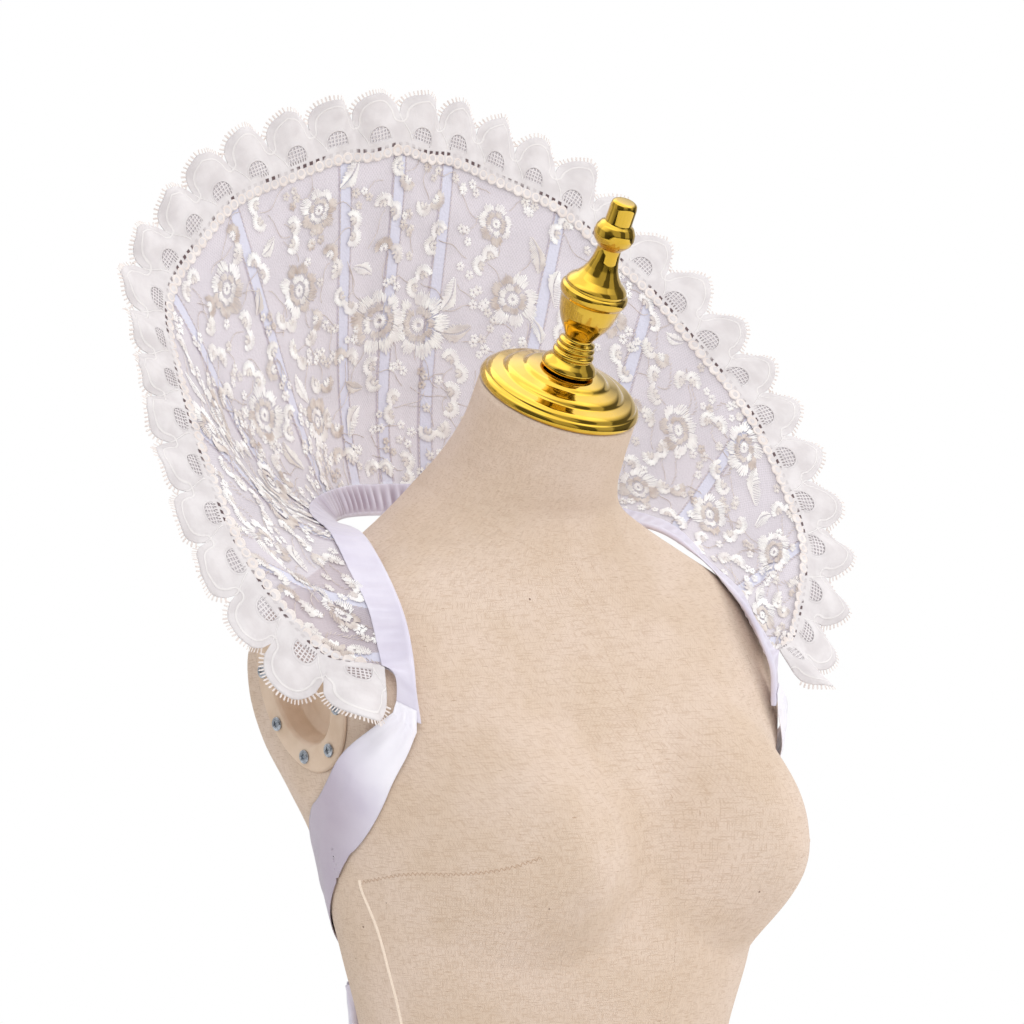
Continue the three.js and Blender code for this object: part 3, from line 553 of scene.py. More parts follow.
def repeat_tree():
    """Sets a small shape on each point, turned and sized by the point's own values."""
    tree = bpy.data.node_groups.new("Set on points", "GeometryNodeTree")
    face = tree.interface
    face.new_socket("Points", in_out="INPUT", socket_type="NodeSocketGeometry")
    for label, kind, value in (
        ("Shape", "NodeSocketObject", None),
        ("Size", "NodeSocketFloat", 1.0),
        ("Unevenness", "NodeSocketFloat", 0.0),
        ("Seed", "NodeSocketInt", 7),
        ("Finish", "NodeSocketMaterial", None),
    ):
        socket = face.new_socket(label, in_out="INPUT", socket_type=kind)
        if value is not None:
            socket.default_value = value
    face.new_socket("Pieces", in_out="OUTPUT", socket_type="NodeSocketGeometry")
    given, out = tree.nodes.new("NodeGroupInput").outputs, tree.nodes.new("NodeGroupOutput")

    def made(kind, inputs, **settings):
        """A node with its inputs, found by name, set or joined."""
        node = add_node(tree, kind, **settings)
        for label, value in inputs.items():
            feed(tree, node.inputs[label], value)
        return node

    shape = made("GeometryNodeObjectInfo", {"Object": given["Shape"]})
    turn = made("GeometryNodeInputNamedAttribute", {"Name": "turn"}, data_type="QUATERNION")
    size = made("GeometryNodeInputNamedAttribute", {"Name": "size"}, data_type="FLOAT_VECTOR")
    chance = made("FunctionNodeRandomValue", {"Min": -1, "Seed": given["Seed"]}, data_type="FLOAT")
    chance = Value(tree, next(s for s in chance.outputs if s.enabled))
    factor = (chance * given["Unevenness"] + 1) * given["Size"]
    sized = {"Vector": size.outputs["Attribute"], "Scale": factor}
    spread = made("GeometryNodeInstanceOnPoints", {
        "Points": given["Points"],
        "Instance": shape.outputs["Geometry"],
        "Rotation": turn.outputs["Attribute"],
        "Scale": made("ShaderNodeVectorMath", sized, operation="SCALE").outputs["Vector"],
    })
    real = made("GeometryNodeRealizeInstances", {"Geometry": spread.outputs["Instances"]})
    joined = {"Geometry": real.outputs["Geometry"], "Material": given["Finish"]}
    finish = made("GeometryNodeSetMaterial", joined)
    feed(tree, out.inputs["Pieces"], finish.outputs["Geometry"])
    return tree


REPEAT = repeat_tree()


def set_on_points(name, shape, points, along, away, sizes, finish, values=None, unevenness=0.0):
    """One piece from a small shape repeated on points. The shape is in units of its size."""
    seeds = bpy.data.meshes.new(name + "_points")
    seeds.from_pydata((np.asarray(points) * MM).tolist(), [], [])
    turn = seeds.attributes.new("turn", "QUATERNION", "POINT")
    turn.data.foreach_set("value", quaternions(along, away).astype(np.float32).ravel())
    size = seeds.attributes.new("size", "FLOAT_VECTOR", "POINT")
    sizes = np.broadcast_to(np.asarray(sizes, float), (len(points), 3)) * MM
    size.data.foreach_set("vector", sizes.astype(np.float32).ravel())
    name_values(seeds, values)
    carrier = add_object(name + "_points", seeds)
    modifier = carrier.modifiers.new("Set on points", "NODES")
    modifier.node_group = REPEAT
    given = {"Shape": shape, "Size": 1.0, "Unevenness": unevenness, "Seed": 7, "Finish": finish}
    keys = {s.name: s.identifier for s in REPEAT.interface.items_tree if s.in_out == "INPUT"}
    for label, value in given.items():
        modifier[keys[label]] = value
    graph = bpy.context.evaluated_depsgraph_get()
    mesh = bpy.data.meshes.new_from_object(carrier.evaluated_get(graph))
    bpy.data.objects.remove(carrier)
    mesh.shade_flat()
    return add_object(name, mesh)


def hidden_shape(name, points, faces):
    mesh = bpy.data.meshes.new(name)
    mesh.from_pydata([tuple(p) for p in points], [], faces)
    mesh.shade_smooth()
    return add_object(name, mesh)


def hidden_spindle():
    """A stitch of length 1: three-sided, its ends drawn in."""
    points = [(-0.5, 0, -0.2)]
    for x in (-0.36, 0.36):
        points += [(x, 0.45, -0.2), (x, 0, 0.45), (x, -0.45, -0.2)]
    points.append((0.5, 0, -0.2))
    faces = []
    for k in range(3):
        n = (k + 1) % 3
        faces += [(0, 1 + n, 1 + k), (1 + k, 1 + n, 4 + n, 4 + k), (4 + k, 4 + n, 7)]
    return hidden_shape("stitch_shape", points, faces)


# ---------------------------------------------------------------- finishes


def split(tree, vector):
    return [Value(tree, s) for s in add_node(tree, "ShaderNodeSeparateXYZ", vector).outputs]


def noise(tree, place, scale, detail):
    return Value(tree, add_node(tree, "ShaderNodeTexNoise", place, scale, detail).outputs[0])


def effect(name, inputs, outputs):
    """An empty node group: it takes a place and named numbers, and gives named values."""
    tree = bpy.data.node_groups.new(name, "ShaderNodeTree")
    tree.interface.new_socket("Place", in_out="INPUT", socket_type="NodeSocketVector")
    for label, value in inputs.items():
        socket = tree.interface.new_socket(label, in_out="INPUT", socket_type="NodeSocketFloat")
        socket.default_value = value
    for label in outputs:
        tree.interface.new_socket(label, in_out="OUTPUT", socket_type="NodeSocketFloat")
    return tree, tree.nodes.new("NodeGroupInput").outputs, tree.nodes.new("NodeGroupOutput").inputs


def weave_effect():
    """Threads both ways with thick slubs. Sizes are millimetres, the place is metres."""
    sizes = {"Warp pitch": 0.9, "Weft pitch": 0.9, "Slub length": 16.0, "Slub width": 0.9}
    tree, given, out = effect("Weave", {**sizes, "Slub rarity": 0.57}, ("Height", "Slub", "Thread"))
    x, y, _ = split(tree, given["Place"])
    warp, weft = (
        (place * (math.tau / MM) / given[pitch]).sine()
        for place, pitch in ((x, "Warp pitch"), (y, "Weft pitch"))
    )
    crossing = warp * weft
    slubs = []
    for layer, (short_way, long_way) in enumerate(((x, y), (y, x))):
        across = short_way * (1 / MM) / given["Slub width"]
        along = long_way * (1 / MM) / given["Slub length"]
        place = add_node(tree, "ShaderNodeCombineXYZ", across, along, 7.3 * layer).outputs[0]
        slubs.append((noise(tree, place, 1.0, 1.0) - given["Slub rarity"]).ramp(0, 0.08))
    slub = slubs[0].most(slubs[1])
    feed(tree, out["Height"], slub * 0.5 + (crossing * 0.35 + 0.5))
    feed(tree, out["Slub"], slub)
    feed(tree, out["Thread"], crossing * 0.5 + 0.5)
    return tree


def mottle_effect():
    """Slow changes of shade over a surface, and a fine grain."""
    sizes = {"Patch size": 40.0, "Grain size": 1.0}
    tree, given, out = effect("Mottle", sizes, ("Patches", "Grain"))
    for label, size in (("Patches", "Patch size"), ("Grain", "Grain size")):
        scale = add_node(tree, "ShaderNodeMath", 1 / MM, given[size], operation="DIVIDE").outputs[0]
        feed(tree, out[label], noise(tree, given["Place"], scale, 3.0).ramp(0.32, 0.68))
    return tree


WEAVE = weave_effect()
MOTTLE = mottle_effect()


def linear(red, green, blue):
    """A colour given as it looks, from 0 to 255, for a shader."""
    shares = (c / 255 for c in (red, green, blue))
    return tuple(((c + 0.055) / 1.055) ** 2.4 if c > 10 / 255 else c / 12.92 for c in shares)


class Finish:
    """A material under construction: short calls that add what its surface is made of."""

    def __init__(self, name):
        self.material = bpy.data.materials.new(name)
        self.material.use_nodes = True
        self.tree = self.material.node_tree
        self.tree.nodes.clear()
        out = self.tree.nodes.new("ShaderNodeOutputMaterial")
        self.body = self.tree.nodes.new("ShaderNodeBsdfPrincipled")
        self.tree.links.new(self.body.outputs[0], out.inputs["Surface"])

    def set(self, **values):
        """Principled inputs by name, with _ for a space: a number or a joined output."""
        for label, value in values.items():
            feed(self.tree, self.body.inputs[label.replace("_", " ")], value)
        return self.material

    def place(self, kind):
        return add_node(self.tree, "ShaderNodeTexCoord").outputs[kind]

    def attribute(self, name):
        node = add_node(self.tree, "ShaderNodeAttribute", attribute_name=name)
        return Value(self.tree, node.outputs["Fac"])

    def use(self, group, place, sizes):
        node = add_node(self.tree, "ShaderNodeGroup", node_tree=group)
        feed(self.tree, node.inputs["Place"], place)
        for label, value in sizes.items():
            feed(self.tree, node.inputs[label.replace("_", " ")], value)
        return {s.name: Value(self.tree, s) for s in node.outputs}

    def weave(self, **sizes):
        return self.use(WEAVE, self.place("UV"), sizes)

    def mottle(self, patch, grain, kind="Object"):
        return self.use(MOTTLE, self.place(kind), {"Patch size": patch, "Grain size": grain})

    def mix(self, share, first, second):
        """first where the share is 0, second where it is 1. New colours are given as they look."""
        node = add_node(self.tree, "ShaderNodeMix", data_type="RGBA")
        sockets = (node.inputs["Factor"], *[s for s in node.inputs if s.type == "RGBA"])
        for socket, value in zip(sockets, (share, first, second)):
            feed(self.tree, socket, linear(*value) if isinstance(value, tuple) else value)
        return next(s for s in node.outputs if s.type == "RGBA")

    def colour(self, share, first, second, *layers):
        """Two colours mixed, and then each layer's colour laid over them by its own share."""
        base = self.mix(share, first, second)
        for layer_share, tone in layers:
            base = self.mix(layer_share, base, tone)
        return base

    def bump(self, height, distance):
        node = add_node(self.tree, "ShaderNodeBump")
        feed(self.tree, node.inputs["Distance"], distance * MM)
        feed(self.tree, node.inputs["Height"], height)
        return node.outputs["Normal"]


DULL = {"Sheen_Weight": 0.12, "Specular_IOR_Level": 0.15}


def linen_finish():
    f = Finish("linen")
    weave = f.weave(Warp_pitch=1.7, Weft_pitch=1.9, Slub_length=6.5, Slub_width=0.5, Slub_rarity=0.57)
    bold = f.weave(Slub_length=8.0, Slub_width=0.8, Slub_rarity=0.73)
    mottle = f.mottle(55.0, 2.2)
    specks = add_node(f.tree, "ShaderNodeTexVoronoi", f.place("Object"), 24.0).outputs["Distance"]
    base = f.colour(
        mottle["Patches"], (211, 188, 167), (220, 199, 183),
        (weave["Thread"] * 0.28, (236, 221, 204)),
        (weave["Slub"] * 0.36, (180, 150, 124)),
        (bold["Slub"] * 0.6, (160, 124, 96)),
        (mottle["Grain"] * 0.1, (196, 164, 136)),
        (Value(f.tree, specks).ramp(0.014, 0.022, 0.8, 0), (110, 82, 66)),
    )
    return f.set(Base_Color=base, Roughness=0.88, Normal=f.bump(weave["Height"], 0.1), **DULL)


def thread_finish():
    f = Finish("seam_thread")
    mottle = f.mottle(8.0, 0.6)
    # the light colour, lighter than the linen, is partly a painted highlight: the welt wears it
    # whole, standing for light along its raised ridge; the brown mixed in by shade is the zigzag's
    # darker thread
    base = f.colour(
        mottle["Grain"], (238, 218, 198), (247, 231, 214),
        (f.attribute("shade"), (186, 152, 124)),
    )
    return f.set(Base_Color=base, Roughness=0.8, Normal=f.bump(mottle["Grain"], 0.1))


def gold_finish():
    f = Finish("gold")
    mottle = f.mottle(26.0, 3.0)
    base = f.colour(mottle["Patches"], (212, 170, 44), (222, 182, 60))
    rough = mottle["Grain"].ramp(0, 1, 0.06, 0.12)
    return f.set(Base_Color=base, Metallic=1.0, Roughness=rough, Coat_Weight=0.6, Coat_Roughness=0.03)


def plastic_finish():
    f = Finish("arm_plastic")
    mottle = f.mottle(18.0, 1.4)
    base = f.colour(mottle["Patches"], (215, 188, 162), (226, 202, 179))
    rough = mottle["Grain"].ramp(0, 1, 0.38, 0.52)
    return f.set(Base_Color=base, Roughness=rough, Normal=f.bump(mottle["Grain"], 0.05))


def steel_finish():
    f = Finish("screw_steel")
    mottle = f.mottle(3.0, 0.5)
    base = f.colour(mottle["Patches"], (150, 156, 164), (196, 202, 210))
    return f.set(Base_Color=base, Metallic=1.0, Roughness=mottle["Grain"].ramp(0, 1, 0.22, 0.4))


def satin_finish():
    """Satin: painted violet grey shade in the valleys of its puckers and on the ribbons' lower
    stretch, and a painted near white highlight along the ribbons' upper stretch.
    """
    f = Finish("satin")
    mottle = f.mottle(30.0, 1.2, "UV")
    weave = f.weave(Warp_pitch=0.7, Weft_pitch=3.0, Slub_length=9.0)
    base = f.colour(
        mottle["Patches"], (214, 208, 224), (227, 222, 235),
        (weave["Thread"] * 0.12, (212, 206, 230)),
        # painted shade and a painted highlight, each laid in by a value the piece gives for each
        # point
        (f.attribute("hollow") * 0.85, (158, 140, 156)),
        (f.attribute("gleam"), (250, 248, 254)),
    )
    rough = mottle["Grain"].ramp(0, 1, 0.36, 0.46)
    normal = f.bump(weave["Height"], 0.04)
    return f.set(Base_Color=base, Roughness=rough, Sheen_Weight=0.25, Anisotropic=0.4, Normal=normal)


def tape_finish():
    f = Finish("bone_tape")
    weave = f.weave(Warp_pitch=0.8, Weft_pitch=1.1, Slub_length=8.0)
    patches = f.mottle(20.0, 1.0, "UV")["Patches"]
    base = f.colour(
        patches, (222, 222, 239), (230, 230, 245),
        (weave["Thread"] * 0.2, (208, 208, 230)),
    )
    return f.set(Base_Color=base, Roughness=0.55, Normal=f.bump(weave["Height"], 0.08))


NET_PITCH = 1.7  # mesh of the net, millimetres
NET_SLANT = 0.6


def net_finish():
    """Sheer net: a fine slanted mesh, denser over the bones, whose tape shows through it."""
    f = Finish("net")
    x, y, _ = split(f.tree, f.place("UV"))
    turn = math.tau / (NET_PITCH * MM)
    left, right = (
        abs(((y * (NET_SLANT * sign * turn) + x * turn) * 0.5).sine()) for sign in (1, -1)
    )
    mottle = f.mottle(34.0, 1.6, "UV")
    over_bone = f.attribute("bone_gap").ramp(3.4, 4.4, 1, 0)
    base = f.colour(
        mottle["Patches"], (198, 188, 197), (210, 200, 209),
        (mottle["Grain"] * 0.25, (224, 216, 222)),
        (over_bone, (226, 225, 240)),
    )
    alpha = (left * right).ramp(0.15, 0.75, 0.84, 0.7).most(over_bone * 0.9)
    normal = f.bump(mottle["Grain"], 0.12)
    return f.set(Base_Color=base, Roughness=0.8, Alpha=alpha, Normal=normal, **DULL)


def stitch_finish():
    """Silk stitches, from white to silver beige."""
    f = Finish("embroidery_silk")
    mottle = f.mottle(7.0, 0.7)
    silver = f.colour(mottle["Patches"], (200, 184, 175), (226, 215, 208))
    white = f.colour(mottle["Patches"], (246, 242, 242), (255, 254, 252))
    base = f.mix(f.attribute("shade"), white, silver)
    rough = mottle["Grain"].ramp(0, 1, 0.32, 0.5)
    normal = f.bump(mottle["Grain"], 0.08)
    return f.set(Base_Color=base, Roughness=rough, Sheen_Weight=0.3, Normal=normal)


EYE_FOOT = 4.5  # the netted eye's place out from the net's edge, its half width and its height
EYE_SIZE = (7.3, 9.0)
EYE_PITCH = 4.4
CORD_INSET = 4.4
RIB_PITCH = 1.9
LADDER_PITCH = 5.2


def lace_finish():
    """Lace: padded scallops, a cord inside each edge, a netted eye, slits and a foot ladder, with
    painted shade in the eye's holes, the slits and the ladder's gaps.
    """
    f = Finish("lace")
    place = f.place("UV")
    reach = f.attribute("petal_reach")  # millimetres out from the net's edge
    inset = f.attribute("petal_inset")  # millimetres in from the scalloped edge
    x = split(f.tree, place)[0]
    mottle = f.mottle(12.0, 1.0, "UV")
    weave = f.weave(Warp_pitch=0.9, Weft_pitch=0.9, Slub_length=6.0)
    scallop = (x / (SCALLOP_PITCH * MM)).math("FRACT")
    across = (scallop - 0.5) * SCALLOP_PITCH
    out = reach - EYE_FOOT
    ring = ((across / EYE_SIZE[0]) ** 2 + (out / EYE_SIZE[1]) ** 2).math("SQRT")
    above = out.ramp(-0.6, 0.2)
    eye = ring.ramp(0.94, 1.0, 1, 0) * above
    eye_rim = abs(ring - 1.06).ramp(0.03, 0.12, 1, 0) * above
    columns, rows = (
        abs((way * (math.tau / EYE_PITCH)).sine()).ramp(0.4, 0.7) for way in (across, out)
    )
    hole = columns * rows * eye
    cord = abs(inset - CORD_INSET).ramp(0.25, 0.9, 1, 0) * reach.ramp(3.0, 5.0)
    seam = abs(scallop * SCALLOP_PITCH - reach.ramp(2.0, 19.0, 7.5, 0.0)).ramp(0.2, 0.75, 1, 0)
    cord = cord.most(seam * reach.ramp(2.2, 3.4))
    # where the slits and the ladder's gaps stand open, showing painted shade, and where they are
    # closed
    gaps_open = noise(f.tree, place, 40.0, 1.0).ramp(0.46, 0.54)
    rib = (x * (math.tau / (RIB_PITCH * MM))).sine()
    slit = abs(reach - 3.5).ramp(0.7, 1.2, 1, 0) * rib.ramp(0.1, 0.5)
    slit = slit * abs(across).ramp(6.0, 7.5, 1, 0) * gaps_open
    bar = (x * (math.tau / (LADDER_PITCH * MM))).sine()
    ladder = abs(reach + 0.4).ramp(0.8, 1.4, 1, 0) * bar.ramp(-0.3, 0.2)
    # painted shade: the open slits and ladder gaps are painted dark brown for the shade seen through
    # them
    dark = (ladder * gaps_open.ramp(0, 1, 0.15, 1.0)).most(slit * 0.7)
    height = inset.ramp(0.0, 9.0) * 0.8 + cord * 0.6 + eye_rim * 0.5
    height = height - eye.most(dark) * 0.9 + weave["Height"] * 0.12
    # the hole layer is painted shade that greys the eye's holes; the dark layer is the painted shade
    # of the slits and ladder
    base = f.colour(
        mottle["Patches"], (213, 207, 208), (226, 221, 222),
        (weave["Thread"] * 0.15, (238, 233, 232)),
        (cord * 0.5, (246, 242, 240)),
        (hole, (180, 168, 174)),
        (dark, (104, 86, 88)),
    )
    alpha = hole.ramp(0, 1, 1.0, 0.4)
    return f.set(Base_Color=base, Roughness=0.85, Alpha=alpha, Normal=f.bump(height, 0.5), **DULL)


def lace_thread_finish():
    f = Finish("lace_thread")
    mottle = f.mottle(10.0, 0.8)
    base = f.colour(mottle["Patches"], (228, 217, 212), (240, 232, 228))
    normal = f.bump(mottle["Grain"], 0.1)
    return f.set(Base_Color=base, Roughness=0.85, Specular_IOR_Level=0.15, Normal=normal)


LINEN = linen_finish()
SEAM_THREAD = thread_finish()
GOLD = gold_finish()
ARM_PLASTIC = plastic_finish()
SCREW_STEEL = steel_finish()
SATIN = satin_finish()
BONE_TAPE = tape_finish()
NET = net_finish()
SILK = stitch_finish()
LACE = lace_finish()
LACE_THREAD = lace_thread_finish()


def settle(piece, finish_slot, *nodes):
    """Every piece rides on the one body and may stand for nodes. finish_slot is not used."""
    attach(piece, "root")
    if nodes:
        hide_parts(*nodes)


# ---------------------------------------------------------------- the net and its bones


BONE_LINES = sorted({side * u for u in BONE_U for side in (-1, 1)})
NET_ROWS = 56


def bone_gap(u, v):
    """Distance along the net to the nearest bone, in millimetres."""
    lines = np.array(BONE_LINES)
    nearest = lines[np.abs(u[..., None] - lines).argmin(-1)]
    return np.abs(u - nearest) * width_per_u(u, v)


def net_stops():
    """Where the net has its grid lines along: close together beside each bone."""
    knots = (-NET_END, *BONE_LINES, NET_END)
    shares = np.array([0, *np.linspace(0.06, 0.94, 17), 1])
    stops = {round(x, 6) for low, high in zip(knots, knots[1:]) for x in low + (high - low) * shares}
    return np.array(sorted(stops))


def panel_place(u, v):
    """The net laid flat: millimetres along its middle and up from its neck edge."""
    stops = np.linspace(-1.1, 1.1, 441)
    lengths = run_along(drafted(stops, 0.5 + 0 * stops))
    return np.stack([np.interp(u, stops, lengths), v * collar_height(u)], -1)


def make_net():
    u, v = np.meshgrid(net_stops(), np.linspace(0, 1, NET_ROWS), indexing="ij")
    points, uv = on_collar(u, v).reshape(-1, 3), panel_place(u, v).reshape(-1, 2)
    piece = add_mesh("net_panel", points, quads(*u.shape), NET, uv, {"bone_gap": bone_gap(u, v)})
    settle(piece, "net", "collar_panel")


# across a bone in its tape: from its middle, and up off the net
BONE_SECTION = (
    (-5.4, 0.1), (-4.9, 0.45), (-4.0, 0.5), (-3.3, 1.15), (-1.8, 1.45), (0, 1.5),
    (1.8, 1.45), (3.3, 1.15), (4.0, 0.5), (4.9, 0.45), (5.4, 0.1),
)
BONE_OFF = 0.35
BONE_FOOT = 19.0
BONE_TOP = 4.0
BONE_ROWS = 34
STITCH_SPACING = 3.2
STITCH_ASIDE = 4.5
STITCH_SIZE = (2.3, 0.5, 0.5)


def bone_names():
    yield "bone_centre", 0.0
    for k, u in enumerate(BONE_U[1:], 1):
        yield f"bone_right_{k}", -u
        yield f"bone_left_{k}", u


def make_bones(stitch):
    """A tape over each bone, with a row of stitches down both its edges on either face."""
    across, lift = np.array(BONE_SECTION).T
    spots, ways, outs = [], [], []
    for name, u in bone_names():
        height = float(collar_height(np.array(u)))
        v = np.linspace(BONE_FOOT / height, 1 - BONE_TOP / height, BONE_ROWS)
        grid_v, grid_a = np.meshgrid(v, across, indexing="ij")
        grid_u = u + grid_a / width_per_u(u + 0 * grid_v, grid_v)
        ends = np.minimum(1, np.minimum(grid_v - v[0], v[-1] - grid_v) * height / 2.5 + 0.35)
        outer = on_collar(grid_u, grid_v, BONE_OFF + lift * ends + 0.2)
        inner = on_collar(grid_u, grid_v, BONE_OFF)
        uv = np.stack([grid_a, grid_v * height], -1)
        piece = add_wall(name + "_tape", outer, inner, BONE_TAPE, uv)
        settle(piece, "bone_tape", name)
        count = int((v[-1] - v[0]) * height / STITCH_SPACING)
        at = np.linspace(v[0], v[-1], count + 2)[1:-1]
        for side in (-STITCH_ASIDE, STITCH_ASIDE):
            beside = u + side / width_per_u(u + 0 * at, at)
            _, up, away = collar_frame(beside, at)
            for off in (BONE_OFF + 0.75, -0.45):
                spots.append(on_collar(beside, at, off))
                ways.append(up)
                outs.append(away * np.sign(off))
    places = (np.concatenate(x) for x in (spots, ways, outs))
    piece = set_on_points(
        "casing_stitches", stitch, *places, STITCH_SIZE, LACE_THREAD, unevenness=0.08
    )
    settle(piece, "lace")


# ---------------------------------------------------------------- embroidery


LEAF_PLUMPNESS = 0.27
VINE_SHADE = 0.9


class Embroidery:
    """Stitches laid on the flat net: place, direction, length, width, shade and rise."""

    def __init__(self, seed):
        self.chance = np.random.default_rng(seed)
        self.rows = []

    def stitch(self, place, x, y, angle, length, width, shade, rise=0.0):
        """x and y are millimetres from the place (u, v) of the motif."""
        columns = (np.atleast_1d(np.asarray(a, float)) for a in (x, y, angle, length))
        for here in zip(*np.broadcast_arrays(*columns)):
            self.rows.append((*place, *here, width, shade, rise))

    def fan(self, place, middle, turn, spread, near, far, shade, width=0.85, rise=0.2):
        """Stitches that spread from one point, as in a petal, with a feathered outer edge."""
        count = max(3, int(math.radians(spread) * (near + far) / 2 / (width * 0.95)))
        share = (np.arange(count) + 0.5) / count
        angles = math.radians(turn) + math.radians(spread) * (share - 0.5)
        ends = far * (1 - 0.2 * np.abs(2 * share - 1) ** 2)
        ends = ends + self.chance.normal(0, 0.035 * far, count)
        starts = near + self.chance.normal(0, 0.03 * far, count)
        middles = (ends + starts) / 2
        x = middle[0] + middles * np.cos(angles)
        y = middle[1] + middles * np.sin(angles)
        jitter = self.chance.normal(0, 0.05, count)
        self.stitch(place, x, y, angles + jitter, (ends - starts) * 1.04, width, shade, rise)

    def flower(self, place, size, turn, petals, pale):
        """Petals round a worked middle: one side of the ring is pale, the other silver beige."""
        for k in range(petals):
            angle = turn + 360 * k / petals + self.chance.normal(0, 3)
            beige = math.cos(math.radians(360 * k / petals)) < pale
            shade = self.chance.uniform(0.75, 1.0) if beige else self.chance.uniform(0.0, 0.15)
            far = size * self.chance.uniform(0.88, 1.08)
            gap = 360 / petals * 0.96
            inner = 0.85 - 0.75 * shade
            self.fan(place, (0, 0), angle, gap, 0.56 * size, far, shade)
            self.fan(place, (0, 0), angle, gap, 0.3 * size, 0.56 * size, inner, rise=0.35)
        self.fan(place, (0, 0), turn, 360, 0.06 * size, 0.24 * size, 0.1, width=1.0, rise=0.5)

    def petal_pair(self, place, size, turn, shade):
        """Two rounded petals side by side, pale within and dark at the rim or the other way."""
        for side in (-1, 1):
            angle = math.radians(turn + 90 * side)
            middle = (0.42 * size * math.cos(angle), 0.42 * size * math.sin(angle))
            own = shade if side > 0 else 0.3 * shade
            way, inner = turn + 30 * side, 0.5 - 0.5 * own
            self.fan(place, middle, way, 210, 0.26 * size, 0.66 * size, own)
            self.fan(place, middle, way, 300, 0.04 * size, 0.3 * size, inner, rise=0.4)

    def leaf(self, place, length, turn, shade):
        """Stitches that slant out both ways from a bent rib."""
        count = max(4, int(length / 0.9))
        s = (np.arange(count) + 0.5) / count
        half = length * LEAF_PLUMPNESS * np.sin(np.pi * s**0.8) + 0.8
        turn = math.radians(turn)
        bow = 0.12 * length * np.sin(np.pi * s)
        rib_x = length * (s - 0.5) * math.cos(turn) - bow * math.sin(turn)
        rib_y = length * (s - 0.5) * math.sin(turn) + bow * math.cos(turn)
        bend = turn + 0.35 * (s - 0.5)
        for side in (-1, 1):
            angle = bend + side * math.radians(50)
            reach = half * self.chance.uniform(0.82, 1.12, count)
            x = rib_x + (reach / 2 + 0.3) * np.cos(angle)
            y = rib_y + (reach / 2 + 0.3) * np.sin(angle)
            self.stitch(place, x, y, angle, reach, 0.8, shade if side > 0 else 0.8 * shade, 0.1)

    def blossom(self, place, middle, size, turn, shade):
        """A small flower of five petals."""
        for k in range(5):
            self.fan(place, middle, turn + 72 * k, 58, 0.2 * size, size, shade, width=0.8)

    def cluster(self, place, turn, shade):
        """A few blossoms close together."""
        for k in range(int(self.chance.integers(3, 6))):
            angle = math.radians(turn + self.chance.uniform(60, 85) * k)
            out = self.chance.uniform(3.6, 6.4)
            middle = (out * math.cos(angle), out * math.sin(angle))
            own = min(1.0, max(0.0, shade + self.chance.normal(0, 0.25)))
            self.blossom(place, middle, self.chance.uniform(2.6, 3.8), turn + 30 * k, own)

    def vine(self, place, start, angle, length, bend):
        """A line of fine stitches that wanders off from start."""
        count = max(3, int(length / 2.6))
        s = (np.arange(count) + 0.5) / count
        turns = math.radians(angle) + bend * s + 0.35 * np.sin(7 * s + angle)
        step = length / count
        x = start[0] + np.cumsum(np.cos(turns)) * step
        y = start[1] + np.cumsum(np.sin(turns)) * step
        self.stitch(place, x, y, turns, step * 1.12, 0.55, VINE_SHADE)


# Large flowers on the wearer's right half: place u and v, size, turn, petals, how much is pale
FLOWERS = (
    (-0.015, 0.52, 19, 10, 9, -0.9), (-0.165, 0.66, 16, 200, 8, 0.2), (-0.12, 0.86, 13, 100, 7, -0.2),
    (-0.33, 0.40, 17, 20, 8, -0.3), (-0.31, 0.80, 15, 75, 7, 0.4), (-0.47, 0.62, 15, 130, 7, 0.0),
    (-0.44, 0.27, 14, 60, 7, 0.5), (-0.58, 0.83, 15, 0, 8, -0.4), (-0.60, 0.42, 14, 45, 7, 0.1),
    (-0.72, 0.68, 14, 80, 7, -0.6), (-0.82, 0.42, 12, 15, 6, 0.2), (-0.17, 0.28, 14, 250, 7, 0.3),
)

# what fills the room between the large flowers, how often it is tried, and the room it takes
MOTIFS = (
    ("pair", 500, 10.0), ("leaf", 500, 11.0), ("cluster", 900, 7.2), ("leaf", 700, 7.6),
    ("cluster", 900, 6.0), ("bud", 900, 4.0),
)
MOTIF_SHADES = (0.0, 0.05, 0.1, 0.2, 0.7, 0.95)


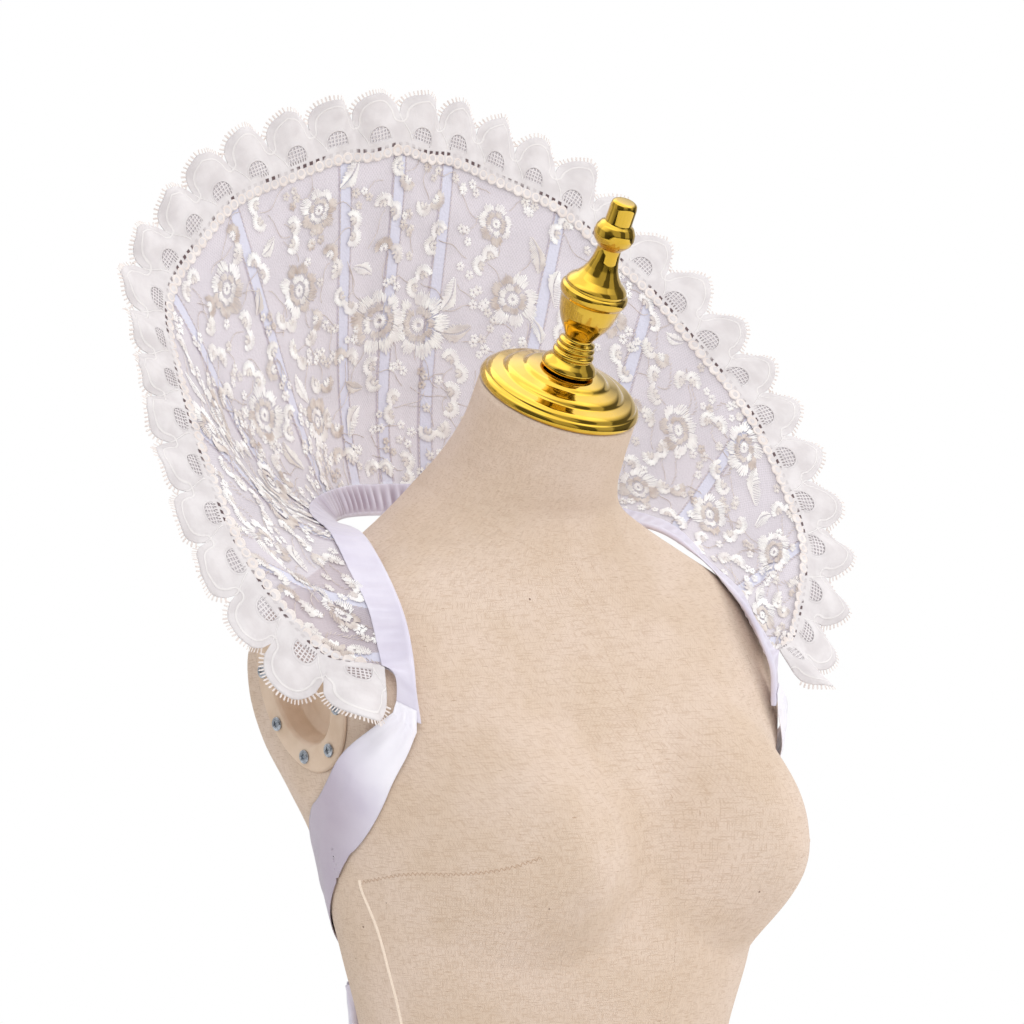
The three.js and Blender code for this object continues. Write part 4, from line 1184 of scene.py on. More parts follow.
def lay_embroidery():
    """The whole pattern: large flowers, then leaves, clusters and vines between them."""
    work = Embroidery(11)
    chance = work.chance
    taken = []

    def free(u, v, reach):
        place = panel_place(np.array(u), np.array(v))
        if all(np.hypot(*(place - other)) > reach + room for other, room in taken):
            taken.append((place, reach))
            return True
        return False

    def inside(u, v, reach):
        height = float(collar_height(np.array(u)))
        return BINDING_LEAF + reach * 0.6 < v * height < height - 7 - reach * 0.75

    for side in (-1, 1):
        for u, v, size, turn, petals, pale in FLOWERS:
            if side > 0:
                u, turn, pale = -u + 0.04, 180 - turn, pale - 0.4
            if not (inside(u, v, size) and free(u, v, size * 0.8)):
                continue
            work.flower((u, v), 1.12 * size, turn, petals, pale)
            for k in range(3):
                angle = turn + 120 * k + chance.uniform(-30, 30)
                way = math.radians(angle)
                start = (size * math.cos(way), size * math.sin(way))
                work.vine((u, v), start, angle, chance.uniform(16, 34), chance.uniform(-1.8, 1.8))
    for kind, tries, reach in MOTIFS:
        for _ in range(tries):
            u, v = chance.uniform(-0.97, 0.97), chance.uniform(0.06, 0.98)
            turn, shade = chance.uniform(0, 360), chance.choice(MOTIF_SHADES)
            if not (inside(u, v, reach * 0.7) and free(u, v, reach)):
                continue
            if kind == "pair":
                work.petal_pair((u, v), reach * 1.15, turn, shade)
                work.vine((u, v), (0, 0), turn + 180, 26, chance.uniform(-1.8, 1.8))
            elif kind == "leaf":
                work.leaf((u, v), reach * 2.1, turn, 0.7 * shade + 0.1)
            elif kind == "cluster":
                work.cluster((u, v), turn, 0.6 * shade)
                work.vine((u, v), (0, 0), turn + 60, 18, chance.uniform(-1.8, 1.8))
            else:
                work.blossom((u, v), (0, 0), 3.4, turn, 0.5 * shade)
    return np.array(work.rows)


STITCH_LIFT = 0.75  # of the silk off the net, towards the wearer
NET_REACH = 0.985  # how near the net's ends and outer edge a stitch may come


def make_embroidery(stitch):
    u0, v0, x, y, angle, length, width, shade, rise = lay_embroidery().T
    height = collar_height(u0)
    v = np.clip(v0 + y / height, 0.0, NET_REACH)
    u = np.clip(u0 + x / width_per_u(u0, v0), -NET_REACH, NET_REACH)
    along, up, away = collar_frame(u, v)
    way = unit(along * np.cos(angle)[:, None] + up * np.sin(angle)[:, None])
    spots = on_collar(u, v, -(STITCH_LIFT + rise))
    sizes = np.stack([length, width, 0.5 + 0 * width], -1)
    for name, half in (("embroidery_right", u < 0), ("embroidery_left", u >= 0)):
        places = (spots[half], way[half], -away[half], sizes[half])
        piece = set_on_points(name, stitch, *places, SILK, {"shade": shade[half]}, 0.06)
        settle(piece, "net")


# ---------------------------------------------------------------- the satin binding

BINDING_COLUMNS = 760
BINDING_DEPTHS = (1.75, 1.15)  # its outer and inner skin, off the middle of the net
BINDING_SAG = 5.0  # how far its fold hangs at the wearer's left
SHOULDER_Y = -24
SHOULDER_REACH = 12
PRESSED = 0.8  # how much flatter it is where it passes closest to the shoulder
PUCKER_PITCH = 7.0
PUCKER_DEPTH = 1.25  # behind the neck
LEAF_STOPS = (1.0, 0.97, 0.9, 0.78, 0.62, 0.46, 0.3, 0.15, 0.05)


def make_binding():
    stops, lengths = edge_lengths(neck_edge, BINDING_END)
    at = np.linspace(0, lengths[-1], BINDING_COLUMNS)
    u = np.interp(at, lengths, stops)
    leaf = leaf_share(u)
    # across the section: share up the leaf and which face, from the outer face round the fold
    rows = [(s, 1.0) for s in LEAF_STOPS]
    rows += [(0, math.cos(math.radians(a))) for a in range(0, 181, 30)]
    rows += [(s, -1.0) for s in LEAF_STOPS[::-1]]
    share, face = np.array(rows).T
    swell = np.sin(np.pi * share**0.7) ** 0.5
    fall = unit(on_collar(u, 0 * u) - on_collar(u, leaf))
    deep = 0.04 + PUCKER_DEPTH * smoothstep(0.42, 0.22, np.abs(u)) + 0.3 * smoothstep(0.1, 0.5, u)
    deep = deep + 0.06 * np.sin(at / 31)
    phase = 2 * np.pi * at / PUCKER_PITCH + 1.6 * np.sin(at / 23) + 0.9 * np.sin(at / 9.7 + 1)
    pucker = (deep * (0.5 + 0.5 * np.sin(phase)) ** 1.6)[:, None] * swell
    pucker = pucker + (0.12 * np.sin(phase * 0.5 + 2))[:, None] * share
    sag = BINDING_SAG * smoothstep(0.06, 0.2, u) * smoothstep(0.7, 0.42, u)
    beside = (on_collar(u, 0 * u)[:, 1] - SHOULDER_Y) / SHOULDER_REACH
    flatter = 1 - PRESSED * np.exp(-(beside**2))
    grids = []
    for depth, puckered in zip(BINDING_DEPTHS, (1, 0.8)):
        side = face * (depth + puckered * pucker) * flatter[:, None]
        points = on_collar(u[:, None] + 0 * share, leaf[:, None] * share, side)
        drop = np.sqrt(np.clip(1 - face**2, 0, None)) * depth + sag[:, None] * (1 - share) ** 2
        grids.append(points + fall[:, None, :] * drop[..., None])
    steps = np.abs(np.diff(share)) * BINDING_LEAF + np.abs(np.diff(face))
    uv = np.stack(np.broadcast_arrays(at[:, None], np.cumsum([0, *steps])), -1)
    # painted shade: the satin is darkened in the valleys between the puckers, most behind the neck
    # where they are deepest
    hollow = np.clip(deep[:, None] - pucker, 0, None) * swell * 0.9
    piece = add_wall("neck_binding_satin", *grids, SATIN, uv, {"hollow": np.clip(hollow, 0, 1)})
    settle(piece, "satin", "neck_binding")


# ---------------------------------------------------------------- the lace

LACE_STEPS = 24  # columns in a scallop
LACE_FOOT = LACE_CLEFT - 5  # where two scallops meet
LONGEST = (9, 4)  # how much longer the first scallops at the wearer's right end are
ROUNDNESS = 0.52  # of a scallop's outline: 1 is a wave, less is rounder
PICOT_PITCH = 2.5
PICOT_LENGTH = 3.6
PICOT_SIZE = (PICOT_LENGTH, 1.3, 0.6)
DOT_PITCH = 7.4
DOT_SIZE = (7.2, 7.2, 2.6)
LACE_NEAR = 0.95  # how far the lace lies off the net, towards the wearer
LACE_THICK = 0.7
LACE_ROWS = (0, 0.04, 0.1, 0.17, 0.25, 0.34, 0.43, 0.52, 0.61, 0.7, 0.78, 0.85, 0.91, 0.96, 1.0)
HEADING_ROWS = (0, 0.35, 0.7)  # lapped over the net, from the heading to the net's edge


def scallop_outline(phase):
    """0 where two scallops meet, 1 at the tip of one."""
    return np.clip(np.sin(np.pi * phase), 0, 1) ** ROUNDNESS


def lace_direction(u):
    """Out from the net's edge along the lace, along the edge, and away from the wearer."""
    low, high = np.clip(u - 0.03, -NET_END, None), np.clip(u + 0.03, None, NET_END)
    along = unit(outer_edge(high) - outer_edge(low))
    away = collar_frame(u, np.ones_like(u))[2]
    lean = np.radians(bow_and_lean(u)[..., 1])[..., None]
    return unit(np.cross(along, away)) * np.cos(lean) + away * np.sin(lean), along, away


class Scallops:
    """The scalloped edge: each scallop of its own height, lean and depth of fold."""

    def __init__(self):
        chance = np.random.default_rng(5)
        self.rise = chance.normal(0, 0.7, SCALLOPS + 1)
        self.rise[:2] = LONGEST
        self.lean = chance.normal(0, 1.6, SCALLOPS + 1)
        self.depth = chance.uniform(0.75, 1.2, SCALLOPS + 1)
        self.tilt = chance.normal(0, 1.6, SCALLOPS + 1)
        blunt = np.clip(np.arange(SCALLOPS + 1) / 6, 0.1, 1)  # nearest the right end
        self.peak = chance.uniform(0, 3.6, SCALLOPS + 1) * blunt
        self.stops, self.lengths = edge_lengths(outer_edge, LACE_END)

    def at(self, place):
        """place: scallops from the wearer's right end. Gives u, which scallop, phase and reach."""
        u = np.interp(place / SCALLOPS * self.lengths[-1], self.lengths, self.stops)
        number = np.clip(np.floor(place + 1e-9), 0, SCALLOPS - 1).astype(int)
        phase = np.clip(place - number, 0, 1)
        point = np.exp(-np.abs((phase - 0.5) / 0.085) ** 1.3) * self.peak[number]
        rise = LACE_REACH - LACE_FOOT + self.rise[number]
        return u, number, phase, LACE_FOOT + rise * scallop_outline(phase) + point

    def point(self, place, share, side):
        """A point of the lace: share of the way to the scalloped edge, and off the net by side."""
        place, share, side = np.broadcast_arrays(place, share, side)
        u, number, phase, tip = self.at(place)
        out, along, _ = lace_direction(u)
        reach = share * tip
        far = reach / LACE_REACH
        turn = 2 * np.pi * phase
        arch = np.sin(np.pi * phase)
        wave = LACE_WAVE * 0.7 * self.depth[number] * np.cos(turn) * far**1.2
        hood = -2.2 * arch**2 * smoothstep(0.5, 1.05, share) - 1.8 * arch * np.sin(np.pi * share)
        sway = 0.7 * np.sin(2 * turn) * far + self.lean[number] * arch * far
        sway = sway - 1.2 * np.sin(turn) * far
        sway = sway + far * (3 * phase * (number == SCALLOPS - 1) - 9 * (1 - phase) * (number == 0))
        tilt = self.tilt[number] * np.sin(turn) * far
        start = on_collar(u, np.ones_like(u), side + wave + hood + tilt)
        return start + out * reach[..., None] + along * sway[..., None]


def make_lace(stitch, disc):
    scallops = Scallops()
    place = np.linspace(0, SCALLOPS, SCALLOPS * LACE_STEPS + 1)
    u, _, phase, tip = scallops.at(place)
    height = collar_height(u)
    heading = np.maximum(1 - LACE_LAP / height, leaf_share(u) + 0.6 / height)
    grids = []
    share = np.array(LACE_ROWS)
    for side in (-LACE_NEAR, -LACE_NEAR - LACE_THICK):
        low = [on_collar(u, heading * (1 - s) + s, side) for s in HEADING_ROWS]
        high = scallops.point(place[:, None], share[None, :], side)
        grids.append(np.concatenate([np.stack(low, 1), high], 1))
    lap = (1 - heading) * height
    under = [-lap * (1 - s) for s in HEADING_ROWS]
    reach = np.concatenate([np.stack(under, 1), share * tip[:, None]], 1)
    # how far in from the scalloped edge a point lies, measured straight across the flat lace
    edge_x = np.linspace(-1.5, 1.5, 241)
    edge_y, even = (
        LACE_FOOT + (LACE_REACH - LACE_FOOT) * scallop_outline(at)
        for at in ((edge_x + 0.5) % 1, phase)
    )
    flat_x = (phase[:, None] - 0.5) * SCALLOP_PITCH + 0 * reach
    flat = np.stack([flat_x, reach * (even / tip)[:, None]], -1)
    inset = np.linalg.norm(
        flat[..., None, :] - np.stack([edge_x * SCALLOP_PITCH, edge_y], -1), axis=-1
    ).min(-1)
    uv = np.stack(np.broadcast_arrays((place * SCALLOP_PITCH)[:, None], reach), -1)
    values = {"petal_reach": reach, "petal_inset": inset}
    piece = add_wall("lace_border", *grids, LACE, uv, values)
    settle(piece, "lace", "lace_trim")

    # small bars of thread all round the scallops
    fine = np.linspace(0, SCALLOPS, SCALLOPS * 120 + 1)
    middle = -LACE_NEAR - LACE_THICK / 2
    run = run_along(scallops.point(fine, 1.0, middle))
    stops = np.interp(np.arange(0.8, run[-1], PICOT_PITCH), run, fine)
    stops = stops[np.abs((stops % 1) - 0.5) < 0.47]
    rim = scallops.point(stops, 1.0, middle)
    before, after = (scallops.point(stops + step, 1.0, middle) for step in (-0.01, 0.01))
    along = unit(after - before)
    outwards = rim - scallops.point(stops, 0.9, middle)
    normal = unit(np.cross(along, outwards))
    outwards = unit(np.cross(normal, along))
    places = (rim + outwards * PICOT_LENGTH * 0.4, outwards, normal, PICOT_SIZE)
    picots = set_on_points("lace_picots", stitch, *places, LACE_THREAD, unevenness=0.16)
    settle(picots, "lace")

    # a row of padded dots along the heading, lapping over the net
    count = int(scallops.lengths[-1] / DOT_PITCH)
    at = (np.arange(count) + 0.5) / count * scallops.lengths[-1]
    at = np.interp(at, scallops.lengths, scallops.stops)
    height = collar_height(at)
    wide = height > BINDING_LEAF + 16
    at, height = at[wide], height[wide]
    v = 1 - (LACE_LAP - 2.8) / height
    along, _, away = collar_frame(at, v)
    places = (on_collar(at, v, -LACE_NEAR - 0.4), along, -away, DOT_SIZE)
    dots = set_on_points("lace_heading", disc, *places, LACE_THREAD, unevenness=0.12)
    settle(dots, "lace")


def hidden_disc():
    """A padded dot of size 1, dished in its middle, with a ridge round it."""
    around = 12
    profile = ((0.5, 0.0), (0.47, 0.12), (0.38, 0.18), (0.28, 0.11), (0.0, 0.07))
    points, faces = [], []
    for r, h in profile[:-1]:
        for k in range(around):
            angle = 2 * math.pi * k / around
            points.append((r * math.cos(angle), r * math.sin(angle), h))
    points += [(0, 0, profile[-1][1]), (0, 0, -0.02)]
    for i in range(len(profile) - 2):
        low, high = i * around, (i + 1) * around
        for k in range(around):
            n = (k + 1) % around
            faces.append((low + k, low + n, high + n, high + k))
    last = (len(profile) - 2) * around
    for k in range(around):
        n = (k + 1) % around
        faces.append((last + k, last + n, len(points) - 2))
        faces.append((n, k, len(points) - 1))
    return hidden_shape("dot_shape", points, faces)


# ---------------------------------------------------------------- ribbons and bow


RIBBON_THICKNESS = 0.45
RIBBON_TUCK = 1.04  # u at which a side ribbon leaves the binding
RIBBON_UNDER = -2.5  # how far under the net it starts
BOW_THICKNESS = 0.5
EASING = 9  # rows to either side
FITTING_ROUNDS = 14


def form_slopes(turn, z):
    """Millimetres round the form for each degree, and up it for each millimetre of height."""
    sideways = on_form(turn + 0.5, z) - on_form(turn - 0.5, z)
    return sideways, (on_form(turn, z + 1) - on_form(turn, z - 1)) / 2


def eased(rows):
    """The rows with each change from one to the next spread over its neighbours."""
    weights = np.hanning(2 * EASING + 1)[1:-1]
    ahead, after = rows[:1].repeat(EASING - 1, 0), rows[-1:].repeat(EASING - 1, 0)
    wide = np.concatenate([ahead, rows, after])
    weights = weights / weights.sum()
    return np.stack([np.convolve(column, weights, "valid") for column in wide.T], -1)


def make_ribbon(name, side):
    path = smooth_curve([r[0] for r in RIBBON_ROWS], [r[1:] for r in RIBBON_ROWS])
    s = np.linspace(0, 1, 241)
    j = np.linspace(-0.5, 0.5, 37)
    turn, z, width, lift = np.moveaxis(path(s), -1, 0)
    middle = on_form(turn, z)
    sideways, up = form_slopes(turn, z)
    along, out = unit(eased(np.gradient(middle, axis=0))), unit(eased(np.cross(sideways, up)))
    across = np.cross(out, along)
    reach = j[None, :] * width[:, None]
    flat = middle[:, None, :] + across[:, None, :] * reach[..., None]
    turn_at, z_at = turn[:, None] + 0 * reach, z[:, None] + 0 * reach
    # each point of the flat ribbon is brought to the nearest place of the form, by the form's slopes
    for _ in range(FITTING_ROUNDS):
        sideways, up = form_slopes(turn_at, z_at)
        gap = flat - on_form(turn_at, z_at)
        ee, ff, gg = (sideways * sideways).sum(-1), (sideways * up).sum(-1), (up * up).sum(-1)
        ae, ag = (gap * sideways).sum(-1), (gap * up).sum(-1)
        turn_at = turn_at + 0.8 * (ae * gg - ag * ff) / (ee * gg - ff**2)
        z_at = z_at + 0.8 * (ag * ee - ae * ff) / (ee * gg - ff**2)
    start = np.exp(-s / 0.16)[:, None] + 0.8 * np.exp(-(1 - s) / 0.06)[:, None]
    folds = start * (1.3 + 1.3 * np.sin(2 * np.pi * 2.6 * j + 0.6)[None, :])
    roll = 0.5 * np.sin(2 * np.pi * (s[:, None] * 2.3 + j[None, :] * 0.6)) ** 2
    roll = roll + 0.35 * np.exp(-(((j[None, :] - 0.22 + 0.2 * s[:, None]) / 0.09) ** 2))
    roll = roll * (1 - np.abs(2 * j) ** 4)[None, :]
    edge = 0.12 * smoothstep(0.44, 0.5, np.abs(j))[None, :]
    base = lift[:, None] + 0.1 + folds + roll * (1 - 0.6 * np.exp(-s / 0.1))[:, None] + edge
    base = base + 0.6 * np.exp(-((turn_at / 5) ** 2))
    mirror = np.array([side, 1, 1])
    grids = [on_form(turn_at, z_at, base + off) * mirror for off in (0.0, RIBBON_THICKNESS)]
    # its first stretch comes out of the binding's end
    tuck = side * RIBBON_TUCK
    share = np.linspace(0, float(leaf_share(np.array(BINDING_END))), len(j))
    near, far = np.linalg.norm(on_collar(tuck, 0) - grids[0][0, [0, -1]], axis=-1)
    if near > far:
        share = share[::-1]
    t = np.linspace(0, 1, 10)[:-1, None, None]
    for k, off in enumerate((RIBBON_UNDER, RIBBON_UNDER + RIBBON_THICKNESS)):
        tucked = on_collar(tuck, share, off)
        grids[k] = np.concatenate([tucked * (1 - t) + grids[k][0] * t, grids[k]])
    reach = np.concatenate([np.tile(reach[:1], (len(t), 1)), reach])
    run = run_along(grids[0][:, len(j) // 2])
    uv = np.stack(np.broadcast_arrays(run[:, None], reach), -1)
    part = np.linspace(0, 1, len(run))[:, None] + 0.08 * reach / 19
    # painted shade on the ribbon's lower stretch and in a band near where it leaves the binding;
    # painted highlight along its first stretch
    hollow = 0.8 * smoothstep(0.2, 0.5, part) + 0.15 * np.exp(-(((part - 0.09) / 0.03) ** 2))
    gleam = 0.75 * (1 - smoothstep(0.12, 0.34, part))
    piece = add_wall(name + "_satin", *grids, SATIN, uv, {"hollow": hollow, "gleam": gleam})
    settle(piece, "satin", name)


def behind_back(x, z, off):
    """A point behind the form's back, off from its surface."""
    side, _, back, square, centre, _ = np.moveaxis(form_section(z), -1, 0)
    share = np.clip(np.abs(x) / side, 0, 1)
    return np.stack([x, centre + back * (1 - share**square) ** (1 / square) + off, z], -1)


def make_bow_piece(name, side, rows, slant=0.0):
    path = smooth_curve([r[0] for r in rows], [r[1:] for r in rows])
    tail = rows is TAIL_ROWS
    s = np.linspace(0, 1, 141)
    j = np.linspace(-0.5, 0.5, 33)

    def middle(s):
        out, fall, off, _ = np.moveaxis(path(np.clip(s, 0, 1)), -1, 0)
        return behind_back(side * out, KNOT_Z - fall, off)

    width = path(s)[:, 3]
    along = unit(middle(s + 0.005) - middle(s - 0.005))
    lie = np.array([side, 0, 0] if tail else [0, 0, 1], float)
    across = unit(lie - along * (lie * along).sum(-1, keepdims=True))
    normal = np.cross(along, across)
    if tail:
        near = np.exp(-s / 0.18)
        swing = 1.2 * np.sin(2 * np.pi * (s * 1.6 + 0.1)) * smoothstep(0, 0.25, s)
    else:
        near = np.exp(-s / 0.12) + np.exp(-(1 - s) / 0.12)
        swing = 0.8 * np.sin(np.pi * s) ** 2
    folds = near[:, None] * 1.5 * np.sin(2 * np.pi * 3.2 * j + 0.9)[None, :]
    soft = 0.7 * np.sin(2 * np.pi * (j[None, :] * 0.9 + s[:, None] * 0.7))
    soft = soft * smoothstep(0, 0.3, np.minimum(s, 1 - s + 0.3 * tail))[:, None]
    lift = folds * 0.8 + soft + (swing * 0.6)[:, None]
    grids = []
    for off in (-BOW_THICKNESS / 2, BOW_THICKNESS / 2):
        points = middle(s)[:, None, :] + across[:, None, :] * (width[:, None] * j)[..., None]
        points = points + along[:, None, :] * (slant * j[None, :] * (s**4)[:, None])[..., None]
        grids.append(points + normal[:, None, :] * (lift + off)[..., None])
    run = run_along(grids[0][:, len(j) // 2])
    uv = np.stack(np.broadcast_arrays(run[:, None], j[None, :] * width[:, None]), -1)
    piece = add_wall(name + "_satin", *grids, SATIN, uv)
    settle(piece, "satin", name)


KNOT_SQUARENESS = 3.2
KNOT_RADIUS = 8  # that its pattern is laid out for


def make_knot():
    """The knot of the bow: a wrapped band with folds running round it."""
    centre = behind_back(np.array(0.0), np.array(float(KNOT_Z)), np.array(KNOT_LIFT))
    around, rows = 72, 36
    turn = np.linspace(0, 2 * np.pi, around, endpoint=False)[:, None]
    tall = np.linspace(-1, 1, rows)[None, :]
    pinch = np.clip(1 - np.abs(tall) ** KNOT_SQUARENESS, 0, None) ** (1 / KNOT_SQUARENESS)
    crease = 1 + 0.05 * np.sin(7 * turn + 2.4 * tall) * (1 - tall**2)
    crease = crease + 0.03 * np.sin(12 * turn - 3 * tall)
    # the band's folds run up and down, so they ride on the turn round the upright line
    x = KNOT_SIZE[0] * np.cos(turn) * pinch * crease
    y = KNOT_SIZE[1] * np.sin(turn) * pinch * crease
    z = KNOT_SIZE[2] * tall + 0 * turn
    points = np.stack([x, y, z], -1).reshape(-1, 3) + centre
    faces = quads(around, rows, loop=True)
    uv = np.stack(np.broadcast_arrays(turn * KNOT_RADIUS, tall * KNOT_SIZE[2]), -1).reshape(-1, 2)
    piece = add_mesh("bow_knot_satin", points, faces, SATIN, uv, around=math.tau * KNOT_RADIUS)
    weld(piece, 0.05)
    settle(piece, "satin", "bow_knot")


def weld(piece, distance):
    """Joins points closer than distance and turns the faces outwards."""
    work = bmesh.new()
    work.from_mesh(piece.data)
    bmesh.ops.remove_doubles(work, verts=work.verts, dist=distance * MM)
    bmesh.ops.recalc_face_normals(work, faces=work.faces)
    work.to_mesh(piece.data)
    work.free()
    piece.data.shade_smooth()


# ---------------------------------------------------------------- the dress form

FORM_COLUMNS = 288
FORM_HEIGHTS = ((0, 470, 104), (474, 600, 64), (604, 633, 10))  # from, to and how many rows
CUT_ROUND = 0.9  # how soft the edge of the flat arm cut is
SINK = 21  # how deep the linen sinks behind an arm plate's bowl
CLOTH_WIDTH = 2.6  # of the linen's pattern, for each degree round the form


def form_points(turn, z, off=0.0):
    """The linen's surface: the form cut flat at the arms, and sunk behind the arm plates' bowls."""
    points = on_form(turn, z, off)
    for _, side in SIDES:
        axes, centre = arm_frame(side)
        local = (points - centre) @ axes.T
        depth = local[..., 2] - off
        flat = -CUT_ROUND * np.logaddexp(0, -depth / CUT_ROUND)
        oval = np.hypot(local[..., 0], local[..., 1] * ARM_PLATE_LONG / ARM_PLATE_SHORT)
        sink = -SINK * smoothstep(45, 37, oval) * smoothstep(-6, 1, depth)
        points = points + axes[2] * (flat + sink - depth)[..., None]
    return points


def make_form():
    z = np.concatenate([np.linspace(*rows) for rows in FORM_HEIGHTS])
    turn = np.linspace(0, 360, FORM_COLUMNS, endpoint=False)
    grid_turn, grid_z = np.meshgrid(turn, z, indexing="ij")
    points = form_points(grid_turn, grid_z)
    ends = [points[:, 0].mean(0), points[:, -1].mean(0)]
    points = np.concatenate([points.reshape(-1, 3), ends])
    bias = 0.34 * (np.clip(grid_z, 395, 535) - 395)  # the cloth is pulled askew over the chest
    uv = np.stack([grid_turn * CLOTH_WIDTH + bias, grid_z], -1).reshape(-1, 2)
    uv = np.concatenate([uv, [[0, 0], [0, z[-1]]]])
    faces = capped_faces(*grid_z.shape)
    piece = add_mesh("form_linen", points, faces, LINEN, uv, around=360 * CLOTH_WIDTH)
    settle(piece, "linen", "form_torso")


def seam_path(knots, step):
    """Even steps along a curve drawn over the form through (turn, height) rows."""
    knots = np.array(knots, float)
    curve = smooth_curve(np.linspace(0, 1, len(knots)), knots)
    s = np.linspace(0, 1, 1200)
    turn, z = np.moveaxis(curve(s), -1, 0)
    run = run_along(form_points(turn, z))
    at = np.interp(np.arange(step / 2, run[-1], step), run, s)
    return np.moveaxis(curve(at), -1, 0)


# turn and height along each seam of the wearer's left half, and its kind; a seam that isn't down
# the middle is made on both sides
SEAMS = (
    (
        ((-90, 537), (-84, 539), (-77, 544), (-61, 554), (-37, 565), (-5, 572), (40, 574), (90, 566)),
        "running",
    ),
    (((-5, 572), (2, 562), (4, 550), (5, 536), (4, 522)), "running"),
    (((-3.5, 348), (-19, 355), (-33, 357), (-42.5, 361), (-51.5, 368)), "zigzag"),
    (
        ((-2.4, 349), (-3, 342), (-6.5, 322), (-8, 296), (-8.5, 266), (-8, 190), (-7, 90), (-7, 3)),
        "welt",
    ),
    (
        (
            (-90, 536), (-89, 497), (-88.5, 444), (-87, 408), (-85.5, 360), (-86, 305),
            (-86, 120), (-86, 3),
        ),
        "middle",
    ),
    (((90, 566), (90, 500), (90, 400), (90, 285)), "middle"),
    (((90, 240), (90, 120), (90, 3)), "middle"),
)

# kinds of seam: length of a step, size of its stitches, how far they swing aside, and shade
SEAM_KINDS = {
    # the welt's shade 0 gives it the light thread colour, a painted highlight along its ridge
    "welt": (1.5, (2.3, 3.2, 1.3), 0.0, 0.0),
    "zigzag": (1.7, (2.6, 0.5, 0.3), 2.0, 0.8),
    "running": (2.6, (1.6, 0.4, 0.2), 0.0, 0.5),
    "middle": (2.6, (1.6, 0.4, 0.2), 0.0, 0.5),
}
SEAM_LIFT = 0.12


def make_seams(stitch):
    """Seams of the linen: a raised welt with running stitches, and zigzag darning across."""
    laid = []
    for knots, kind in SEAMS:
        step, size, swing, shade = SEAM_KINDS[kind]
        turn, z = seam_path(knots, step)
        here, beside = form_points(turn, z, SEAM_LIFT), form_points(turn, z, SEAM_LIFT + 2)
        out = unit(beside - here)
        along = unit(np.gradient(here, axis=0))
        zigzag = np.where(np.arange(len(turn)) % 2, swing, -swing)[:, None]
        way = unit(along * step + np.cross(out, along) * zigzag)
        sizes, shades = np.broadcast_to(size, here.shape), np.full(len(here), shade)
        for _, side in SIDES[kind == "middle" :]:
            mirror = np.array([side, 1, 1])
            laid.append((here * mirror, way * mirror, out * mirror, sizes, shades))
    *places, shades = (np.concatenate(x) for x in zip(*laid))
    piece = set_on_points("form_seams", stitch, *places, SEAM_THREAD, {"shade": shades}, 0.1)
    settle(piece, "linen")


TURNED_WELD = 0.001


def make_arm_plate(name, side):
    axes, centre = arm_frame(side)

    def place(points):
        return centre + points * np.array([1, ARM_PLATE_SHORT / ARM_PLATE_LONG, 1]) @ axes

    plate = add_lathe(f"arm_plate_{name}_shell", rounded(PLATE_PROFILE, 1.0), ARM_PLASTIC, place)
    weld(plate, TURNED_WELD)
    settle(plate, "arm_plastic", f"arm_plate_{name}")


def hidden_screw():
    """A round screw head of radius 1 with a cross recess, its foot at z 0."""
    work = bmesh.new()
    around = 24
    rings = []
    profile = ((0.92, 0.0), (1.0, 0.12), (1.0, 0.2), (0.94, 0.3), (0.8, 0.38), (0.6, 0.43))
    turns = [math.tau * k / around for k in range(around)]
    for r, h in profile:
        rings.append([work.verts.new((r * math.cos(t), r * math.sin(t), h)) for t in turns])
    for low, high in zip(rings, rings[1:]):
        for k in range(around):
            n = (k + 1) % around
            work.faces.new((low[k], low[n], high[n], high[k]))
    work.faces.new(rings[0][::-1])
    # the cross: an arm every quarter turn, sunk below the head
    cross = []
    for k in range(4):
        turn = math.pi / 2 * k
        for x, y in ((0.13, -0.13), (0.5, -0.1), (0.5, 0.1)):
            cross.append(Matrix.Rotation(turn, 2) @ Vector((x, y)))
    top = [work.verts.new((x, y, 0.44)) for x, y in cross]
    foot = [work.verts.new((x * 0.8, y * 0.8, 0.2)) for x, y in cross]
    count = len(cross)
    for k in range(count):
        n = (k + 1) % count
        work.faces.new((top[k], top[n], foot[n], foot[k]))
    work.faces.new(foot)
    # the head's crown between its last ring and the cross
    for k in range(count):
        n = (k + 1) % count
        first, last = (
            round(around * ((math.atan2(v.co.y, v.co.x) / math.tau) % 1)) for v in (top[k], top[n])
        )
        last += around * (last < first)
        span = [rings[-1][i % around] for i in range(first, last + 1)]
        work.faces.new([top[n], top[k], *span])
    bmesh.ops.recalc_face_normals(work, faces=work.faces)
    mesh = bpy.data.meshes.new("screw_shape")
    work.to_mesh(mesh)
    work.free()
    return add_object("screw_shape", mesh)


def make_screws(screw):
    for name, side in SIDES:
        axes, centre = arm_frame(side)
        for k in range(SCREWS_PER_PLATE):
            angle = -side * math.radians(FIRST_SCREW + 360 * k / SCREWS_PER_PLATE)
            ring = SCREW_RING * math.sin(angle) * ARM_PLATE_SHORT / ARM_PLATE_LONG
            spot = np.array([[SCREW_RING * math.cos(angle), ring, PLATE_FACE + 0.1]]) @ axes + centre
            way = math.radians(37 * k + 12)
            along = axes[0] * math.cos(way) + axes[1] * math.sin(way)
            places = (spot, along[None], axes[2:3], (SCREW_RADIUS,) * 3)
            head = f"arm_screw_{name}_{k + 1}_head"
            piece = set_on_points(head, screw, *places, SCREW_STEEL)
            settle(piece, "screw_steel", f"arm_screw_{name}_{k + 1}")


